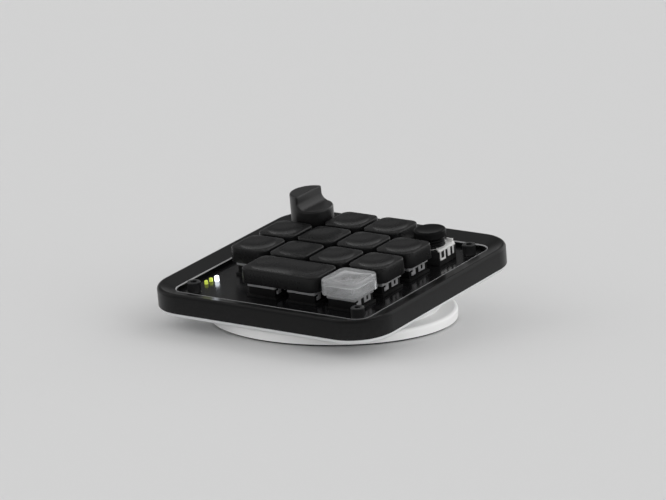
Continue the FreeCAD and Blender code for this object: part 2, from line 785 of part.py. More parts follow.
def makeSwitchCover():
    body = newBody("SwitchCoverPattern")
    block(body, "Additive", coverWidth, coverWidth, "sizes.coverBand", coverBottom)
    legX = f"({coverWidth} - sizes.legThick) / 2"
    legBottom = f"{coverBottom} - sizes.legDrop"
    legHeight = "sizes.legDrop + sizes.coverBand / 2"
    for side in ("", "-"):
        x = f"{side}{legX}"
        block(body, "Additive", "sizes.legThick", "sizes.hookWidth", legHeight, legBottom,
              x, "sizes.hookAlong")
        block(body, "Additive", "sizes.legThick", "sizes.clipWidth", legHeight, legBottom,
              x, "sizes.clipAlong")
        block(body, "Subtractive", "2 * sizes.legThick", "sizes.clipSlotWidth",
              "sizes.clipSlotHeight", f"{coverBottom} - sizes.clipSlotHeight", x, "sizes.clipAlong")
    block(body, "Subtractive", coverCavity, coverCavity, "sizes.coverBand - sizes.coverRoof",
          coverBottom)
    block(body, "Subtractive", "sizes.sliderLength + 2 * sizes.slideGap",
          "sizes.sliderWidth + 2 * sizes.slideGap", "sizes.coverBand", coverBottom)
    return body


def makeSpring():
    body = newBody("SpringPattern")
    inner = "sizes.rodRadius + sizes.springGap"
    height = f"{sliderBottom} - ({baseFloorTop})"
    drum(body, "Additive", f"{inner} + sizes.wireThick", height, baseFloorTop)
    drum(body, "Subtractive", inner, height, baseFloorTop)
    return body


def makeSwitches():
    base = makeSwitchBase()
    cover = makeSwitchCover()
    for row in rows:
        count = row.lstrip("r")
        group(f"switch_bases_row_{count}", base, switchPlaces([row]), padFrame)
        group(f"switch_covers_row_{count}", cover, switchPlaces([row]), padFrame)
    group("switch_springs", makeSpring(), switchPlaces(rows), padFrame)


# Keys

crossBars = [("sizes.crossLength", "sizes.crossThick"), ("sizes.crossThick", "sizes.crossLength")]


def makeStem(label, frame):
    body = newBody("Stem")
    block(body, "Additive", "sizes.shoulderLength", "sizes.shoulderWidth", "sizes.shoulderHeight",
          sliderBottom)
    block(body, "Additive", "sizes.sliderLength", "sizes.sliderWidth", "sizes.sliderHeight",
          sliderBottom)
    drum(body, "Additive", "sizes.rodRadius", "sizes.rodLength + sizes.shoulderHeight",
         f"{sliderBottom} - sizes.rodLength")
    for length, width in crossBars:
        block(body, "Additive", length, width, "sizes.crossHeight", sliderTop)
    keep(body, label, frame)


# extra is the half width that a cap has beyond a single key's
def makeCap(label, frame, extra="0", stemPlaces=("0",)):
    body = newBody("Cap")
    halfAcross = f"{capHalf} + {extra}"
    skirt = sketchOn(body, "SkirtSketch", capBottom)
    drawRoundedRectangle(skirt, halfAcross, capHalf, "sizes.capCorner")
    solid = pad(body, skirt, "sizes.capHeight", "-sizes.capTaper")
    doc.recompute()
    roundOff(body, solid, levelEdges(solid, number("sizes.capTop")), "sizes.capRound")
    inside = sketchOn(body, "InsideSketch", capBottom)
    drawRoundedRectangle(inside, f"{halfAcross} - sizes.capWall", f"{capHalf} - sizes.capWall",
                         "sizes.capCorner - sizes.capWall")
    pocket(body, inside, f"{capCeiling} - ({capBottom})")
    dishHeight = f"sizes.capTop - sizes.dishDepth + {dishSphere}"
    for x in stemPlaces:
        ball(body, "Subtractive", dishSphere, x, dishHeight)
    if len(stemPlaces) > 1:
        trough = drum(body, "Subtractive", dishSphere, f"2 * ({extra})", dishHeight, f"-({extra})")
        trough.Placement.Rotation = Rotation(Vector(0, 1, 0), 90)
    bosses = sketchOn(body, "BossSketch", sliderTop)
    for x in stemPlaces:
        drawCircle(bosses, "sizes.capBossRadius", x)
    pad(body, bosses, f"{capCeiling} - ({sliderTop}) + sizes.capRoof / 2")
    for x in stemPlaces:
        for length, width in crossBars:
            block(body, "Subtractive", f"{length} + 2 * sizes.crossGap",
                  f"{width} + 2 * sizes.crossGap", "sizes.crossHeight + sizes.crossGap", sliderTop, x)
    keep(body, label, frame)


def makeKeys():
    for row, used in switchColumns.items():
        for column in used:
            if row == wideKey["row"] and column in wideKey["columns"]:
                continue
            frame = frameAt(across(column), along(row))
            makeCap(f"keycap_{row}{column}", frame)
            makeStem(f"key_stem_{row}{column}", frame)
    half = f"{keyPitch} / 2"
    makeCap("keycap_wide", frameAt("0", along(wideKey["row"])), half, (f"-{half}", half))
    for side, column in zip(("left", "right"), wideKey["columns"]):
        makeStem(f"key_stem_wide_{side}", frameAt(across(column), along(wideKey["row"])))


# Rotary encoders and their knobs

def makeEncoder(label, frame):
    base = newBody("EncoderBase")
    block(base, "Additive", "sizes.frameWidth - 2 * (sizes.frameThick + sizes.slipGap)",
          "sizes.frameDepth - 2 * sizes.frameLap", "sizes.encoderTop - sizes.boardTop",
          "sizes.boardTop")
    drum(base, "Subtractive", "sizes.rotorRadius + sizes.rotorSideGap",
         f"sizes.encoderTop - ({wellBottom})", wellBottom)
    shaftWell = "sizes.boardTop + sizes.encoderFloor"
    drum(base, "Subtractive", "sizes.shaftRadius + sizes.slipGap",
         f"{wellBottom} - ({shaftWell})", shaftWell)
    keep(base, f"encoder_base_{label}", frame)

    metal = newBody("EncoderFrame")
    block(metal, "Additive", "sizes.frameWidth", "sizes.frameDepth", "sizes.framePlate",
          "sizes.encoderTop")
    drum(metal, "Additive", "sizes.collarRadius", "sizes.collarHeight", plateTop)
    for side in ("", "-"):
        x = f"{side}(sizes.frameWidth - sizes.frameThick) / 2"
        for width, place in (("sizes.frameClipWidth", "sizes.frameClipAlong"),
                             ("sizes.frameTabWidth", "sizes.frameTabAlong"),
                             ("sizes.frameSliverWidth", "sizes.frameSliverAlong")):
            block(metal, "Additive", "sizes.frameThick", width, "sizes.frameLegDrop",
                  "sizes.encoderTop - sizes.frameLegDrop", x, place)
        block(metal, "Subtractive", "2 * sizes.frameThick", "sizes.frameClipSlotWidth",
              "sizes.frameLegDrop - sizes.framePlate",
              "sizes.encoderTop - sizes.frameLegDrop + sizes.framePlate", x, "sizes.frameClipAlong")
    drum(metal, "Subtractive", "sizes.shaftRadius + sizes.runningGap",
         "sizes.framePlate + sizes.collarHeight", "sizes.encoderTop")
    keep(metal, f"encoder_frame_{label}", frame)

    rotor = newBody("EncoderRotor")
    drum(rotor, "Additive", "sizes.rotorRadius", "sizes.rotorThick", rotorBottom)
    drum(rotor, "Subtractive", "sizes.shaftRadius + sizes.runningGap", "sizes.rotorThick", rotorBottom)
    keep(rotor, f"encoder_rotor_{label}", frame)


def makeShaft(label, frame, top):
    body = newBody("EncoderShaft")
    drum(body, "Additive", "sizes.shaftRadius", f"{top} - ({shaftBottom})", shaftBottom)
    keep(body, f"encoder_shaft_{label}", frame)


def boreKnob(body, boreTop):
    drum(body, "Subtractive", "sizes.shaftRadius + sizes.knobBoreGap",
         f"{boreTop} - ({knobBottom})", knobBottom)
    socketTop = f"{plateTop} + sizes.collarHeight + sizes.pushTravel + sizes.knobSocketGap"
    drum(body, "Subtractive", "sizes.collarRadius + sizes.knobSocketGap",
         f"{socketTop} - ({knobBottom})", knobBottom)


# The outer edges of the notch, without the lines where its curved foot runs out
def notchEdges(feature):
    lowest = number("sizes.notchFloor - sizes.tallRound")
    highest = number("sizes.tallTop - sizes.tallRound")
    names = []
    for index, edge in enumerate(feature.Shape.Edges, 1):
        level = isinstance(edge.Curve, Part.Line) and edge.BoundBox.ZLength < 1e-4
        if edge.BoundBox.ZMin > lowest and not (level and edge.BoundBox.ZMax < highest):
            names.append(f"Edge{index}")
    return names


def makeTallKnob():
    column = knobColumns["tall"]
    frame = frameAt(across(column), along(knobRow), number("sizes.notchTurn"))
    makeEncoder("tall", frameAt(across(column), along(knobRow)))
    boreTop = "sizes.notchFloor - sizes.tallSkin"
    makeShaft("tall", frame, boreTop)
    body = newBody("TallKnob")
    drum(body, "Additive", "sizes.tallRadius", f"sizes.tallTop - ({knobBottom})", knobBottom)
    halfHigh = "(sizes.tallTop - sizes.notchFloor) / 2 + sizes.notchCurve"
    notch = sketchOn(body, "NotchSketch", role="XZ_Plane", rise=f"sizes.notchFloor + {halfHigh}")
    notch.setExpression("AttachmentOffset.Base.x", "sizes.notchWall + sizes.tallRadius")
    drawRoundedRectangle(notch, "sizes.tallRadius", halfHigh, "sizes.notchCurve")
    carved = pocket(body, notch, "4 * sizes.tallRadius", midplane=True)
    doc.recompute()
    roundOff(body, carved, notchEdges(carved), "sizes.tallRound")
    boreKnob(body, boreTop)
    keep(body, "knob_tall", frame)


def makeRoundKnob():
    column = knobColumns["round"]
    frame = frameAt(across(column), along(knobRow))
    makeEncoder("round", frame)
    boreTop = "sizes.roundTop - sizes.roundSkin"
    makeShaft("round", frame, boreTop)
    body = newBody("RoundKnob")
    capBase = "sizes.roundTop - sizes.roundHeight"
    drum(body, "Additive", "sizes.neckRadius", f"{capBase} - ({knobBottom})", knobBottom)
    cone(body, "Additive", "sizes.neckRadius", "sizes.roundRadius", "sizes.neckConeHeight",
         f"{capBase} - sizes.neckConeHeight")
    for ring in (0, 1):
        drum(body, "Additive", "sizes.ringRadius", "sizes.ringHeight",
             f"{knobBottom} + {ring} * sizes.ringStep")
    head = drum(body, "Additive", "sizes.roundRadius", "sizes.roundHeight", capBase)
    doc.recompute()
    roundOff(body, head, levelEdges(head, number("sizes.roundTop")), "sizes.roundEdge")
    dishReach = "(sizes.roundRadius - sizes.roundEdge)"
    curve = f"({dishReach} ^ 2 + sizes.roundDish ^ 2) / (2 * sizes.roundDish)"
    ball(body, "Subtractive", curve, "0", f"sizes.roundTop - sizes.roundDish + {curve}")
    boreKnob(body, boreTop)
    keep(body, "knob_round", frame)


def checkAll():
    for item in doc.Objects:
        if "Invalid" in item.State or "Error" in item.State:
            raise SystemExit(f"{item.Label} did not build: {item.State}")
    for piece in pieces:
        shape = piece.Shape
        if shape.isNull() or not shape.isValid() or not shape.Solids:
            raise SystemExit(f"{piece.Label} has no good shape")


def exportAll():
    os.makedirs("parts", exist_ok=True)
    for piece in pieces:
        piece.Shape.exportStep(f"parts/{piece.Label}.step")
        print(f"{piece.Label}: {len(piece.Shape.Solids)} solid(s), {piece.Shape.Volume:.1f} mm3")


makeFoot()
makeBaseDisc()
makeWeight()
makeHub()
makeHubScrews()
makeMagnets()
makeBottomShell()
makeKeeper()
makeInserts()
makeCaseFrame()
makeBoard()
makeCornerScrews()
makeSocket()
makeChip()
makeLamps()
makeSwitches()
makeKeys()
makeTallKnob()
makeRoundKnob()
doc.recompute()
checkAll()
exportAll()
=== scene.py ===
import bmesh
import bpy
import math
from mathutils import Matrix, Vector


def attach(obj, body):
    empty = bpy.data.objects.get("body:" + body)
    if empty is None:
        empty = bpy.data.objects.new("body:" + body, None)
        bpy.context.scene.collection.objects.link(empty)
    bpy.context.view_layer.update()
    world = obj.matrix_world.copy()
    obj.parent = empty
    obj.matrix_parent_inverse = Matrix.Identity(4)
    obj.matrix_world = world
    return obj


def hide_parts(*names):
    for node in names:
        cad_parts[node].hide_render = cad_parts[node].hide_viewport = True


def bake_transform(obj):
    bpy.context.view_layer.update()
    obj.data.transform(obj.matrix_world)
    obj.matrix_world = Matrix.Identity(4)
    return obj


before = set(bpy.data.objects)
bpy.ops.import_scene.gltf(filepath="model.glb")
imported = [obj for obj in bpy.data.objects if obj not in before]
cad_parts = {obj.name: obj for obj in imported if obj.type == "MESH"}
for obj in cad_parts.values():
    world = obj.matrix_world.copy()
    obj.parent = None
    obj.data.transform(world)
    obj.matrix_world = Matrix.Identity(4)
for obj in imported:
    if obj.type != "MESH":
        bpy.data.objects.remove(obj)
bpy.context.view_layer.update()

mm = 0.001

# The pad leans back on its stand. Places on it are given in millimetres,
# across, along and up, with the height counted from the bottom edge of the case.
stand = {"tilt": 7.4, "hubTop": 12.0, "padLift": 2.2}
padFrame = (Matrix.Translation((0, 0, stand["hubTop"] * mm))
            @ Matrix.Rotation(math.radians(stand["tilt"]), 4, "X")
            @ Matrix.Translation((0, 0, stand["padLift"] * mm)))
print("frame loaded:", len(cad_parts), "nodes")


# An object with this data, in the scene
def addObject(name, data):
    made = bpy.data.objects.new(name, data)
    bpy.context.scene.collection.objects.link(made)
    return made


# Camera: angles in degrees from the front and the table, aim and distance in millimetres, clip in metres

view = {"azimuth": 35.1175, "elevation": 12.825, "roll": -0.429, "aim": (-3.616, 4.691, 25.992),
        "distance": 1796.21, "lens": 243.5065, "sensor": 36.0, "clip": (0.05, 50.0)}


def makeCamera():
    around = math.radians(view["azimuth"])
    above = math.radians(view["elevation"])
    aim = Vector(view["aim"]) * mm
    away = Vector((math.sin(around) * math.cos(above), -math.cos(around) * math.cos(above), math.sin(above)))
    data = bpy.data.cameras.new("camera")
    data.sensor_fit = "HORIZONTAL"
    data.sensor_width = view["sensor"]
    data.lens = view["lens"]
    data.clip_start, data.clip_end = view["clip"]
    camera = addObject("camera", data)
    turn = (-away).to_track_quat("-Z", "Y").to_matrix().to_4x4()
    roll = Matrix.Rotation(math.radians(view["roll"]), 4, "Z")
    camera.matrix_world = Matrix.Translation(aim + away * view["distance"] * mm) @ turn @ roll
    bpy.context.scene.camera = camera


makeCamera()
print("camera set")


# Node groups that several materials share

def newGroup(name, inputs, outputs):
    group = bpy.data.node_groups.new(name, "ShaderNodeTree")
    for label, kind, start in inputs:
        socket = group.interface.new_socket(name=label, in_out="INPUT", socket_type=kind)
        socket.default_value = start
    for label, kind in outputs:
        group.interface.new_socket(name=label, in_out="OUTPUT", socket_type=kind)
    return group, group.nodes.new("NodeGroupInput"), group.nodes.new("NodeGroupOutput")


# A socket takes a link or a plain value
def feed(tree, socket, value):
    if hasattr(value, "is_output"):
        tree.links.new(value, socket)
    else:
        socket.default_value = value


def mathNode(tree, operation, *values):
    node = tree.nodes.new("ShaderNodeMath")
    node.operation = operation
    for socket, value in zip(node.inputs, values):
        feed(tree, socket, value)
    return node.outputs[0]


def mixColour(tree, amount, first, second):
    node = tree.nodes.new("ShaderNodeMix")
    node.data_type = "RGBA"
    for label, value in (("Factor", amount), ("A", first), ("B", second)):
        feed(tree, node.inputs[label], value)
    return node.outputs["Result"]


# Scales are in waves per metre
def noiseNode(tree, coordinates, scale, detail=3.0, roughness=0.55):
    node = tree.nodes.new("ShaderNodeTexNoise")
    settings = {"Vector": coordinates, "Scale": scale, "Detail": detail, "Roughness": roughness}
    for label, value in settings.items():
        feed(tree, node.inputs[label], value)
    return node.outputs["Fac"]


# A moulded or sprayed skin: slow drift of tone and gloss, and a fine grain to raise it with

skinLook = {"slowScale": 55.0, "slowDetail": 4.0, "slowShare": 0.6, "patchScale": 420.0, "patchShare": 0.4,
            "grainDetail": 2.0, "grainRoughness": 0.6}


def makeMouldedGroup():
    group, into, out = newGroup("mouldedSkin", [
        ("Colour", "NodeSocketColor", (0.5, 0.5, 0.5, 1)),
        ("Tone Drift", "NodeSocketFloat", 0.1),
        ("Gloss", "NodeSocketFloat", 0.4),
        ("Gloss Drift", "NodeSocketFloat", 0.08),
        ("Grain Size", "NodeSocketFloat", 0.2)],
        [("Colour", "NodeSocketColor"), ("Roughness", "NodeSocketFloat"), ("Height", "NodeSocketFloat")])
    place = group.nodes.new("ShaderNodeTexCoord").outputs["Object"]
    slow = noiseNode(group, place, skinLook["slowScale"], skinLook["slowDetail"])
    patch = noiseNode(group, place, skinLook["patchScale"])
    drift = mathNode(group, "MULTIPLY", mathNode(group, "SUBTRACT", slow, 0.5), into.outputs["Tone Drift"])
    gain = mathNode(group, "MULTIPLY_ADD", drift, 2.0, 1.0)
    tone = group.nodes.new("ShaderNodeVectorMath")
    tone.operation = "SCALE"
    group.links.new(into.outputs["Colour"], tone.inputs[0])
    group.links.new(gain, tone.inputs["Scale"])
    group.links.new(tone.outputs[0], out.inputs["Colour"])
    both = mathNode(group, "ADD", mathNode(group, "MULTIPLY", slow, skinLook["slowShare"]),
                    mathNode(group, "MULTIPLY", patch, skinLook["patchShare"]))
    swing = mathNode(group, "MULTIPLY", mathNode(group, "SUBTRACT", both, 0.5), into.outputs["Gloss Drift"])
    gloss = mathNode(group, "MULTIPLY_ADD", swing, 2.0, into.outputs["Gloss"])
    group.links.new(gloss, out.inputs["Roughness"])
    perMetre = mathNode(group, "DIVIDE", 1 / mm, into.outputs["Grain Size"])
    grain = noiseNode(group, place, perMetre, skinLook["grainDetail"], skinLook["grainRoughness"])
    group.links.new(grain, out.inputs["Height"])
    return group


# Handled edges: a mask of the sharp outer edges, broken up so that it is never an even line

edgeLook = {"from": 0.53, "to": 0.62, "breakScale": 900.0, "breakGain": 1.2, "breakShift": -0.1}


def makeEdgeGroup():
    group, into, out = newGroup("handledEdge", [
        ("Colour", "NodeSocketColor", (0.5, 0.5, 0.5, 1)),
        ("Edge Colour", "NodeSocketColor", (0.5, 0.5, 0.5, 1)),
        ("Amount", "NodeSocketFloat", 0.3)],
        [("Colour", "NodeSocketColor"), ("Mask", "NodeSocketFloat")])
    place = group.nodes.new("ShaderNodeTexCoord").outputs["Object"]
    sharp = group.nodes.new("ShaderNodeNewGeometry").outputs["Pointiness"]
    ramp = group.nodes.new("ShaderNodeMapRange")
    ramp.inputs["From Min"].default_value = edgeLook["from"]
    ramp.inputs["From Max"].default_value = edgeLook["to"]
    group.links.new(sharp, ramp.inputs["Value"])
    broken = mathNode(group, "MULTIPLY_ADD", noiseNode(group, place, edgeLook["breakScale"]),
                      edgeLook["breakGain"], edgeLook["breakShift"])
    mask = mathNode(group, "MULTIPLY", mathNode(group, "MULTIPLY", ramp.outputs["Result"], broken),
                    into.outputs["Amount"])
    group.links.new(mask, out.inputs["Mask"])
    mixed = mixColour(group, mask, into.outputs["Colour"], into.outputs["Edge Colour"])
    group.links.new(mixed, out.inputs["Colour"])
    return group


# Settled dust: a thin pale film on what faces up, with round flecks

dustLook = {"fleckScale": 1300.0, "fleckReach": 0.09, "filmScale": 160.0, "filmShare": 0.5,
            "colour": (0.35, 0.34, 0.32, 1)}


def makeDustGroup():
    group, into, out = newGroup("settledDust", [
        ("Colour", "NodeSocketColor", (0.5, 0.5, 0.5, 1)),
        ("Amount", "NodeSocketFloat", 0.02)],
        [("Colour", "NodeSocketColor"), ("Mask", "NodeSocketFloat")])
    place = group.nodes.new("ShaderNodeTexCoord").outputs["Object"]
    facing = group.nodes.new("ShaderNodeSeparateXYZ")
    group.links.new(group.nodes.new("ShaderNodeNewGeometry").outputs["Normal"], facing.inputs[0])
    up = mathNode(group, "MAXIMUM", facing.outputs["Z"], 0.0)
    fleck = group.nodes.new("ShaderNodeTexVoronoi")
    fleck.inputs["Scale"].default_value = dustLook["fleckScale"]
    group.links.new(place, fleck.inputs["Vector"])
    dots = mathNode(group, "LESS_THAN", fleck.outputs["Distance"], dustLook["fleckReach"])
    thin = mathNode(group, "MULTIPLY", noiseNode(group, place, dustLook["filmScale"]), dustLook["filmShare"])
    film = mathNode(group, "ADD", thin, dots)
    mask = mathNode(group, "MULTIPLY", mathNode(group, "MULTIPLY", up, film), into.outputs["Amount"])
    group.links.new(mask, out.inputs["Mask"])
    mixed = mixColour(group, mask, into.outputs["Colour"], dustLook["colour"])
    group.links.new(mixed, out.inputs["Colour"])
    return group


shared = {"moulded": makeMouldedGroup(), "edge": makeEdgeGroup(), "dust": makeDustGroup()}


def placeGroup(tree, kind, **values):
    node = tree.nodes.new("ShaderNodeGroup")
    node.node_tree = shared[kind]
    for label, value in values.items():
        feed(tree, node.inputs[label.replace("_", " ")], value)
    return node


def grey(tone):
    return (tone, tone, tone, 1)


# Every finish: colour, gloss (roughness), the drift of tone and gloss where it isn't the usual, grain
# (size in millimetres, depth in micrometres), edge (colour and amount), dust amount, glow (colour and
# strength), and plain shader values

usualDrift = {"toneDrift": 0.12, "glossDrift": 0.07}

finishes = {
    "case_black": {"colour": (0.0045, 0.0045, 0.0047, 1), "gloss": 0.32, "grain": (0.25, 2),
                   "edge": (grey(0.05), 0.35), "dust": 0.012, "Specular IOR Level": 0.17},
    # The pale strip round the bezel's lower edge: its colour is a painted highlight of the edge's chamfer
    "painted_highlight_pale": {"colour": (0.38, 0.38, 0.385, 1), "gloss": 0.3, "grain": (0.4, 3),
                  "edge": (grey(0.5), 0.2)},
    "board_black": {"colour": (0.004, 0.004, 0.0045, 1), "gloss": 0.19, "glossDrift": 0.05,
                    "grain": (1.1, 2.2), "edge": (grey(0.03), 0.1), "dust": 0.012,
                    "Specular IOR Level": 0.8},
    "cap_black": {"colour": (0.0075, 0.0075, 0.0077, 1), "gloss": 0.28, "grain": (0.2, 1.2),
                  "edge": (grey(0.06), 0.3), "dust": 0.008, "Specular IOR Level": 0.2},
    "knob_black": {"colour": (0.005, 0.005, 0.0052, 1), "gloss": 0.36, "grain": (0.2, 2),
                   "edge": (grey(0.06), 0.35), "dust": 0.006, "Specular IOR Level": 0.5},
    "dial_black": {"colour": (0.005, 0.005, 0.0052, 1), "gloss": 0.34, "grain": (0.2, 2),
                   "edge": (grey(0.06), 0.35), "dust": 0.004, "Specular IOR Level": 0.06},
    "screw_black": {"colour": (0.035, 0.035, 0.036, 1), "gloss": 0.3, "grain": (0.3, 8),
                    "edge": (grey(0.2), 0.7), "dust": 0.01, "Metallic": 0.6},
    "cap_frosted": {"colour": (0.91, 0.92, 0.93, 1), "gloss": 0.2, "grain": (0.14, 6),
                    "edge": (grey(0.9), 0.2), "Transmission Weight": 0.8, "IOR": 1.49},
    "shell_frosted": {"colour": (0.87, 0.88, 0.89, 1), "gloss": 0.45, "grain": (0.2, 8),
                      "edge": (grey(0.85), 0.2), "Transmission Weight": 0.25, "IOR": 1.49},
    "switch_smoke": {"colour": (0.4, 0.4, 0.41, 1), "gloss": 0.34, "grain": (0.3, 5),
                     "edge": (grey(0.6), 0.3), "Transmission Weight": 0.35, "IOR": 1.49},
    "switch_black": {"colour": (0.004, 0.004, 0.004, 1), "gloss": 0.4, "grain": (0.2, 6),
                     "edge": (grey(0.08), 0.4), "dust": 0.01, "Specular IOR Level": 0.08},
    "stem_grey": {"colour": (0.55, 0.55, 0.56, 1), "gloss": 0.35, "grain": (0.2, 5),
                  "edge": (grey(0.7), 0.2)},
    "stand_white": {"colour": (0.84, 0.84, 0.835, 1), "gloss": 0.42, "toneDrift": 0.02,
                    "grain": (0.18, 8), "edge": (grey(0.85), 0.2), "dust": 0.01},
    "foot_rubber": {"colour": (0.012, 0.012, 0.012, 1), "gloss": 0.8, "grain": (0.35, 30),
                    "edge": (grey(0.04), 0.3), "dust": 0.03},
    "encoder_black": {"colour": (0.012, 0.012, 0.012, 1), "gloss": 0.42, "grain": (0.2, 6),
                      "edge": (grey(0.08), 0.4), "dust": 0.01, "Specular IOR Level": 0.2},
    "collar_black": {"colour": (0.006, 0.006, 0.0062, 1), "gloss": 0.3, "grain": (0.25, 2),
                     "edge": (grey(0.1), 0.3), "Specular IOR Level": 0.25},
    "encoder_nickel": {"colour": (0.93, 0.925, 0.91, 1), "gloss": 0.36, "grain": (0.4, 6),
                       "edge": (grey(0.9), 0.3), "Metallic": 0.3},
    "rotor_nylon": {"colour": (0.62, 0.61, 0.57, 1), "gloss": 0.5, "grain": (0.3, 8),
                    "edge": (grey(0.7), 0.2)},
    "shaft_metal": {"colour": (0.55, 0.55, 0.56, 1), "gloss": 0.3, "grain": (0.3, 6),
                    "edge": (grey(0.8), 0.3), "Metallic": 1.0},
    "socket_metal": {"colour": (0.5, 0.5, 0.51, 1), "gloss": 0.28, "grain": (0.4, 6),
                     "edge": (grey(0.8), 0.3), "dust": 0.01, "Metallic": 1.0},
    "ballast_steel": {"colour": (0.42, 0.42, 0.43, 1), "gloss": 0.34, "grain": (0.5, 12),
                      "edge": (grey(0.6), 0.3), "Metallic": 1.0},
    "plain_screws": {"colour": (0.5, 0.5, 0.5, 1), "gloss": 0.3, "grain": (0.4, 10),
                     "edge": (grey(0.7), 0.3), "Metallic": 1.0},
    "magnet_nickel": {"colour": (0.6, 0.6, 0.6, 1), "gloss": 0.18, "grain": (0.5, 4),
                      "edge": (grey(0.8), 0.3), "Metallic": 1.0},
    "insert_brass": {"colour": (0.6, 0.42, 0.15, 1), "gloss": 0.3, "grain": (0.3, 10),
                     "edge": (grey(0.7), 0.2), "Metallic": 1.0},
    "spring_steel": {"colour": (0.5, 0.5, 0.5, 1), "gloss": 0.28, "grain": (0.4, 5),
                     "edge": (grey(0.8), 0.2), "Metallic": 1.0},
    "chip_black": {"colour": (0.015, 0.015, 0.015, 1), "gloss": 0.5, "grain": (0.2, 10),
                   "edge": (grey(0.05), 0.2)},
    "lamp_white": {"colour": (0.85, 0.87, 0.9, 1), "gloss": 0.3, "toneDrift": 0.02, "grain": (0.3, 4),
                   "edge": (grey(0.9), 0.1), "glow": ((0.86, 0.92, 1.0, 1), 3.0)},
    "lamp_green": {"colour": (0.5, 0.6, 0.06, 1), "gloss": 0.3, "toneDrift": 0.03, "grain": (0.3, 4),
                   "edge": (grey(0.7), 0.1), "glow": ((0.62, 0.72, 0.1, 1), 0.5)},
}


def makeFinish(name):
    look = {**usualDrift, **finishes[name]}
    material = bpy.data.materials.new(name)
    material.use_nodes = True
    tree = material.node_tree
    shader = tree.nodes["Principled BSDF"]
    skin = placeGroup(tree, "moulded", Colour=look["colour"], Tone_Drift=look["toneDrift"],
                      Gloss=look["gloss"], Gloss_Drift=look["glossDrift"], Grain_Size=look["grain"][0])
    edgeColour, edgeAmount = look["edge"]
    edges = placeGroup(tree, "edge", Colour=skin.outputs["Colour"], Edge_Colour=edgeColour,
                       Amount=edgeAmount)
    colour = edges.outputs["Colour"]
    if "dust" in look:
        colour = placeGroup(tree, "dust", Colour=colour, Amount=look["dust"]).outputs["Colour"]
    tree.links.new(colour, shader.inputs["Base Color"])
    tree.links.new(skin.outputs["Roughness"], shader.inputs["Roughness"])
    bump = tree.nodes.new("ShaderNodeBump")
    bump.inputs["Strength"].default_value = 1.0
    bump.inputs["Distance"].default_value = look["grain"][1] * 1e-6
    tree.links.new(skin.outputs["Height"], bump.inputs["Height"])
    tree.links.new(bump.outputs["Normal"], shader.inputs["Normal"])
    for socket in ("Metallic", "Transmission Weight", "IOR", "Specular IOR Level"):
        if socket in look:
            shader.inputs[socket].default_value = look[socket]
    if "glow" in look:
        glowColour, strength = look["glow"]
        shader.inputs["Emission Color"].default_value = glowColour
        shader.inputs["Emission Strength"].default_value = strength
    return material


materials = {name: makeFinish(name) for name in finishes}
print("finishes made:", len(materials))


# The solids that show take their finish by name

nodeFinishes = {
    "rubber_foot": "foot_rubber", "base_disc": "stand_white", "wedge_hub": "stand_white",
    "steel_weight": "ballast_steel", "keeper_plate": "ballast_steel", "hub_screws": "plain_screws",
    "hub_magnets": "magnet_nickel", "bottom_shell": "shell_frosted", "case_frame": "case_black",
    "circuit_board": "board_black", "corner_screws": "screw_black", "brass_inserts": "insert_brass",
    "usb_socket": "socket_metal", "controller_chip": "chip_black", "status_lamp": "lamp_white",
    "layer_lamps": "lamp_green", "switch_springs": "spring_steel", "keycap_r4c4": "cap_frosted",
}
startFinishes = {"switch_bases": "switch_black", "switch_covers": "switch_smoke", "keycap": "cap_black",
                 "key_stem": "stem_grey", "encoder_base": "encoder_black",
                 "encoder_frame": "encoder_nickel", "encoder_rotor": "rotor_nylon",
                 "encoder_shaft": "shaft_metal", "knob": "knob_black"}


def finishOf(node):
    if node in nodeFinishes:
        return nodeFinishes[node]
    return next(finish for start, finish in startFinishes.items() if node.startswith(start))


for node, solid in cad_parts.items():
    solid.data.materials.clear()
    solid.data.materials.append(materials[finishOf(node)])
print("solids dressed")


# Mesh helpers. Every piece is shaped in millimetres and scaled to metres as it is made.

# Points evenly spaced round a rounded rectangle, from the middle of its right side
def roundedOutline(halfX, halfY, corner, count):
    flatX = halfX - corner
    flatY = halfY - corner
    arc = math.pi / 2 * corner
    legs = [("side", flatY, (halfX, 0), (0, 1)), ("arc", arc, (flatX, flatY), 0),
            ("side", 2 * flatX, (flatX, halfY), (-1, 0)), ("arc", arc, (-flatX, flatY), 90),
            ("side", 2 * flatY, (-halfX, flatY), (0, -1)), ("arc", arc, (-flatX, -flatY), 180),
            ("side", 2 * flatX, (-flatX, -halfY), (1, 0)), ("arc", arc, (flatX, -flatY), 270),
            ("side", flatY, (halfX, -flatY), (0, 1))]
    total = sum(leg[1] for leg in legs)
    points = []
    for step in range(count):
        way = total * step / count
        for kind, length, start, turn in legs:
            if way <= length:
                break
            way -= length
        if kind == "side":
            points.append((start[0] + turn[0] * way, start[1] + turn[1] * way))
        else:
            angle = math.radians(turn) + way / corner
            points.append((start[0] + corner * math.cos(angle), start[1] + corner * math.sin(angle)))
    return points


def circleOutline(radius, count):
    return roundedOutline(radius, radius, radius, count)


# A closed surface through rings of equal count. A ring drawn in to a point or a line closes itself.
def addRings(grid, rings, closeStart=False, closeEnd=False):
    loops = [[grid.verts.new(Vector(point) * mm) for point in ring] for ring in rings]
    count = len(loops[0])
    for low, high in zip(loops, loops[1:]):
        for here in range(count):
            there = (here + 1) % count
            grid.faces.new((low[here], low[there], high[there], high[here]))
    if closeStart:
        grid.faces.new(reversed(loops[0]))
    if closeEnd:
        grid.faces.new(loops[-1])


def level(outline, z):
    return [(x, y, z) for x, y in outline]


# A quarter round in profile: pairs of inset and rise, each from nought to the radius
def quarterRound(radius, steps):
    for step in range(steps + 1):
        angle = math.pi / 2 * step / steps
        yield radius * (1 - math.cos(angle)), radius * math.sin(angle)


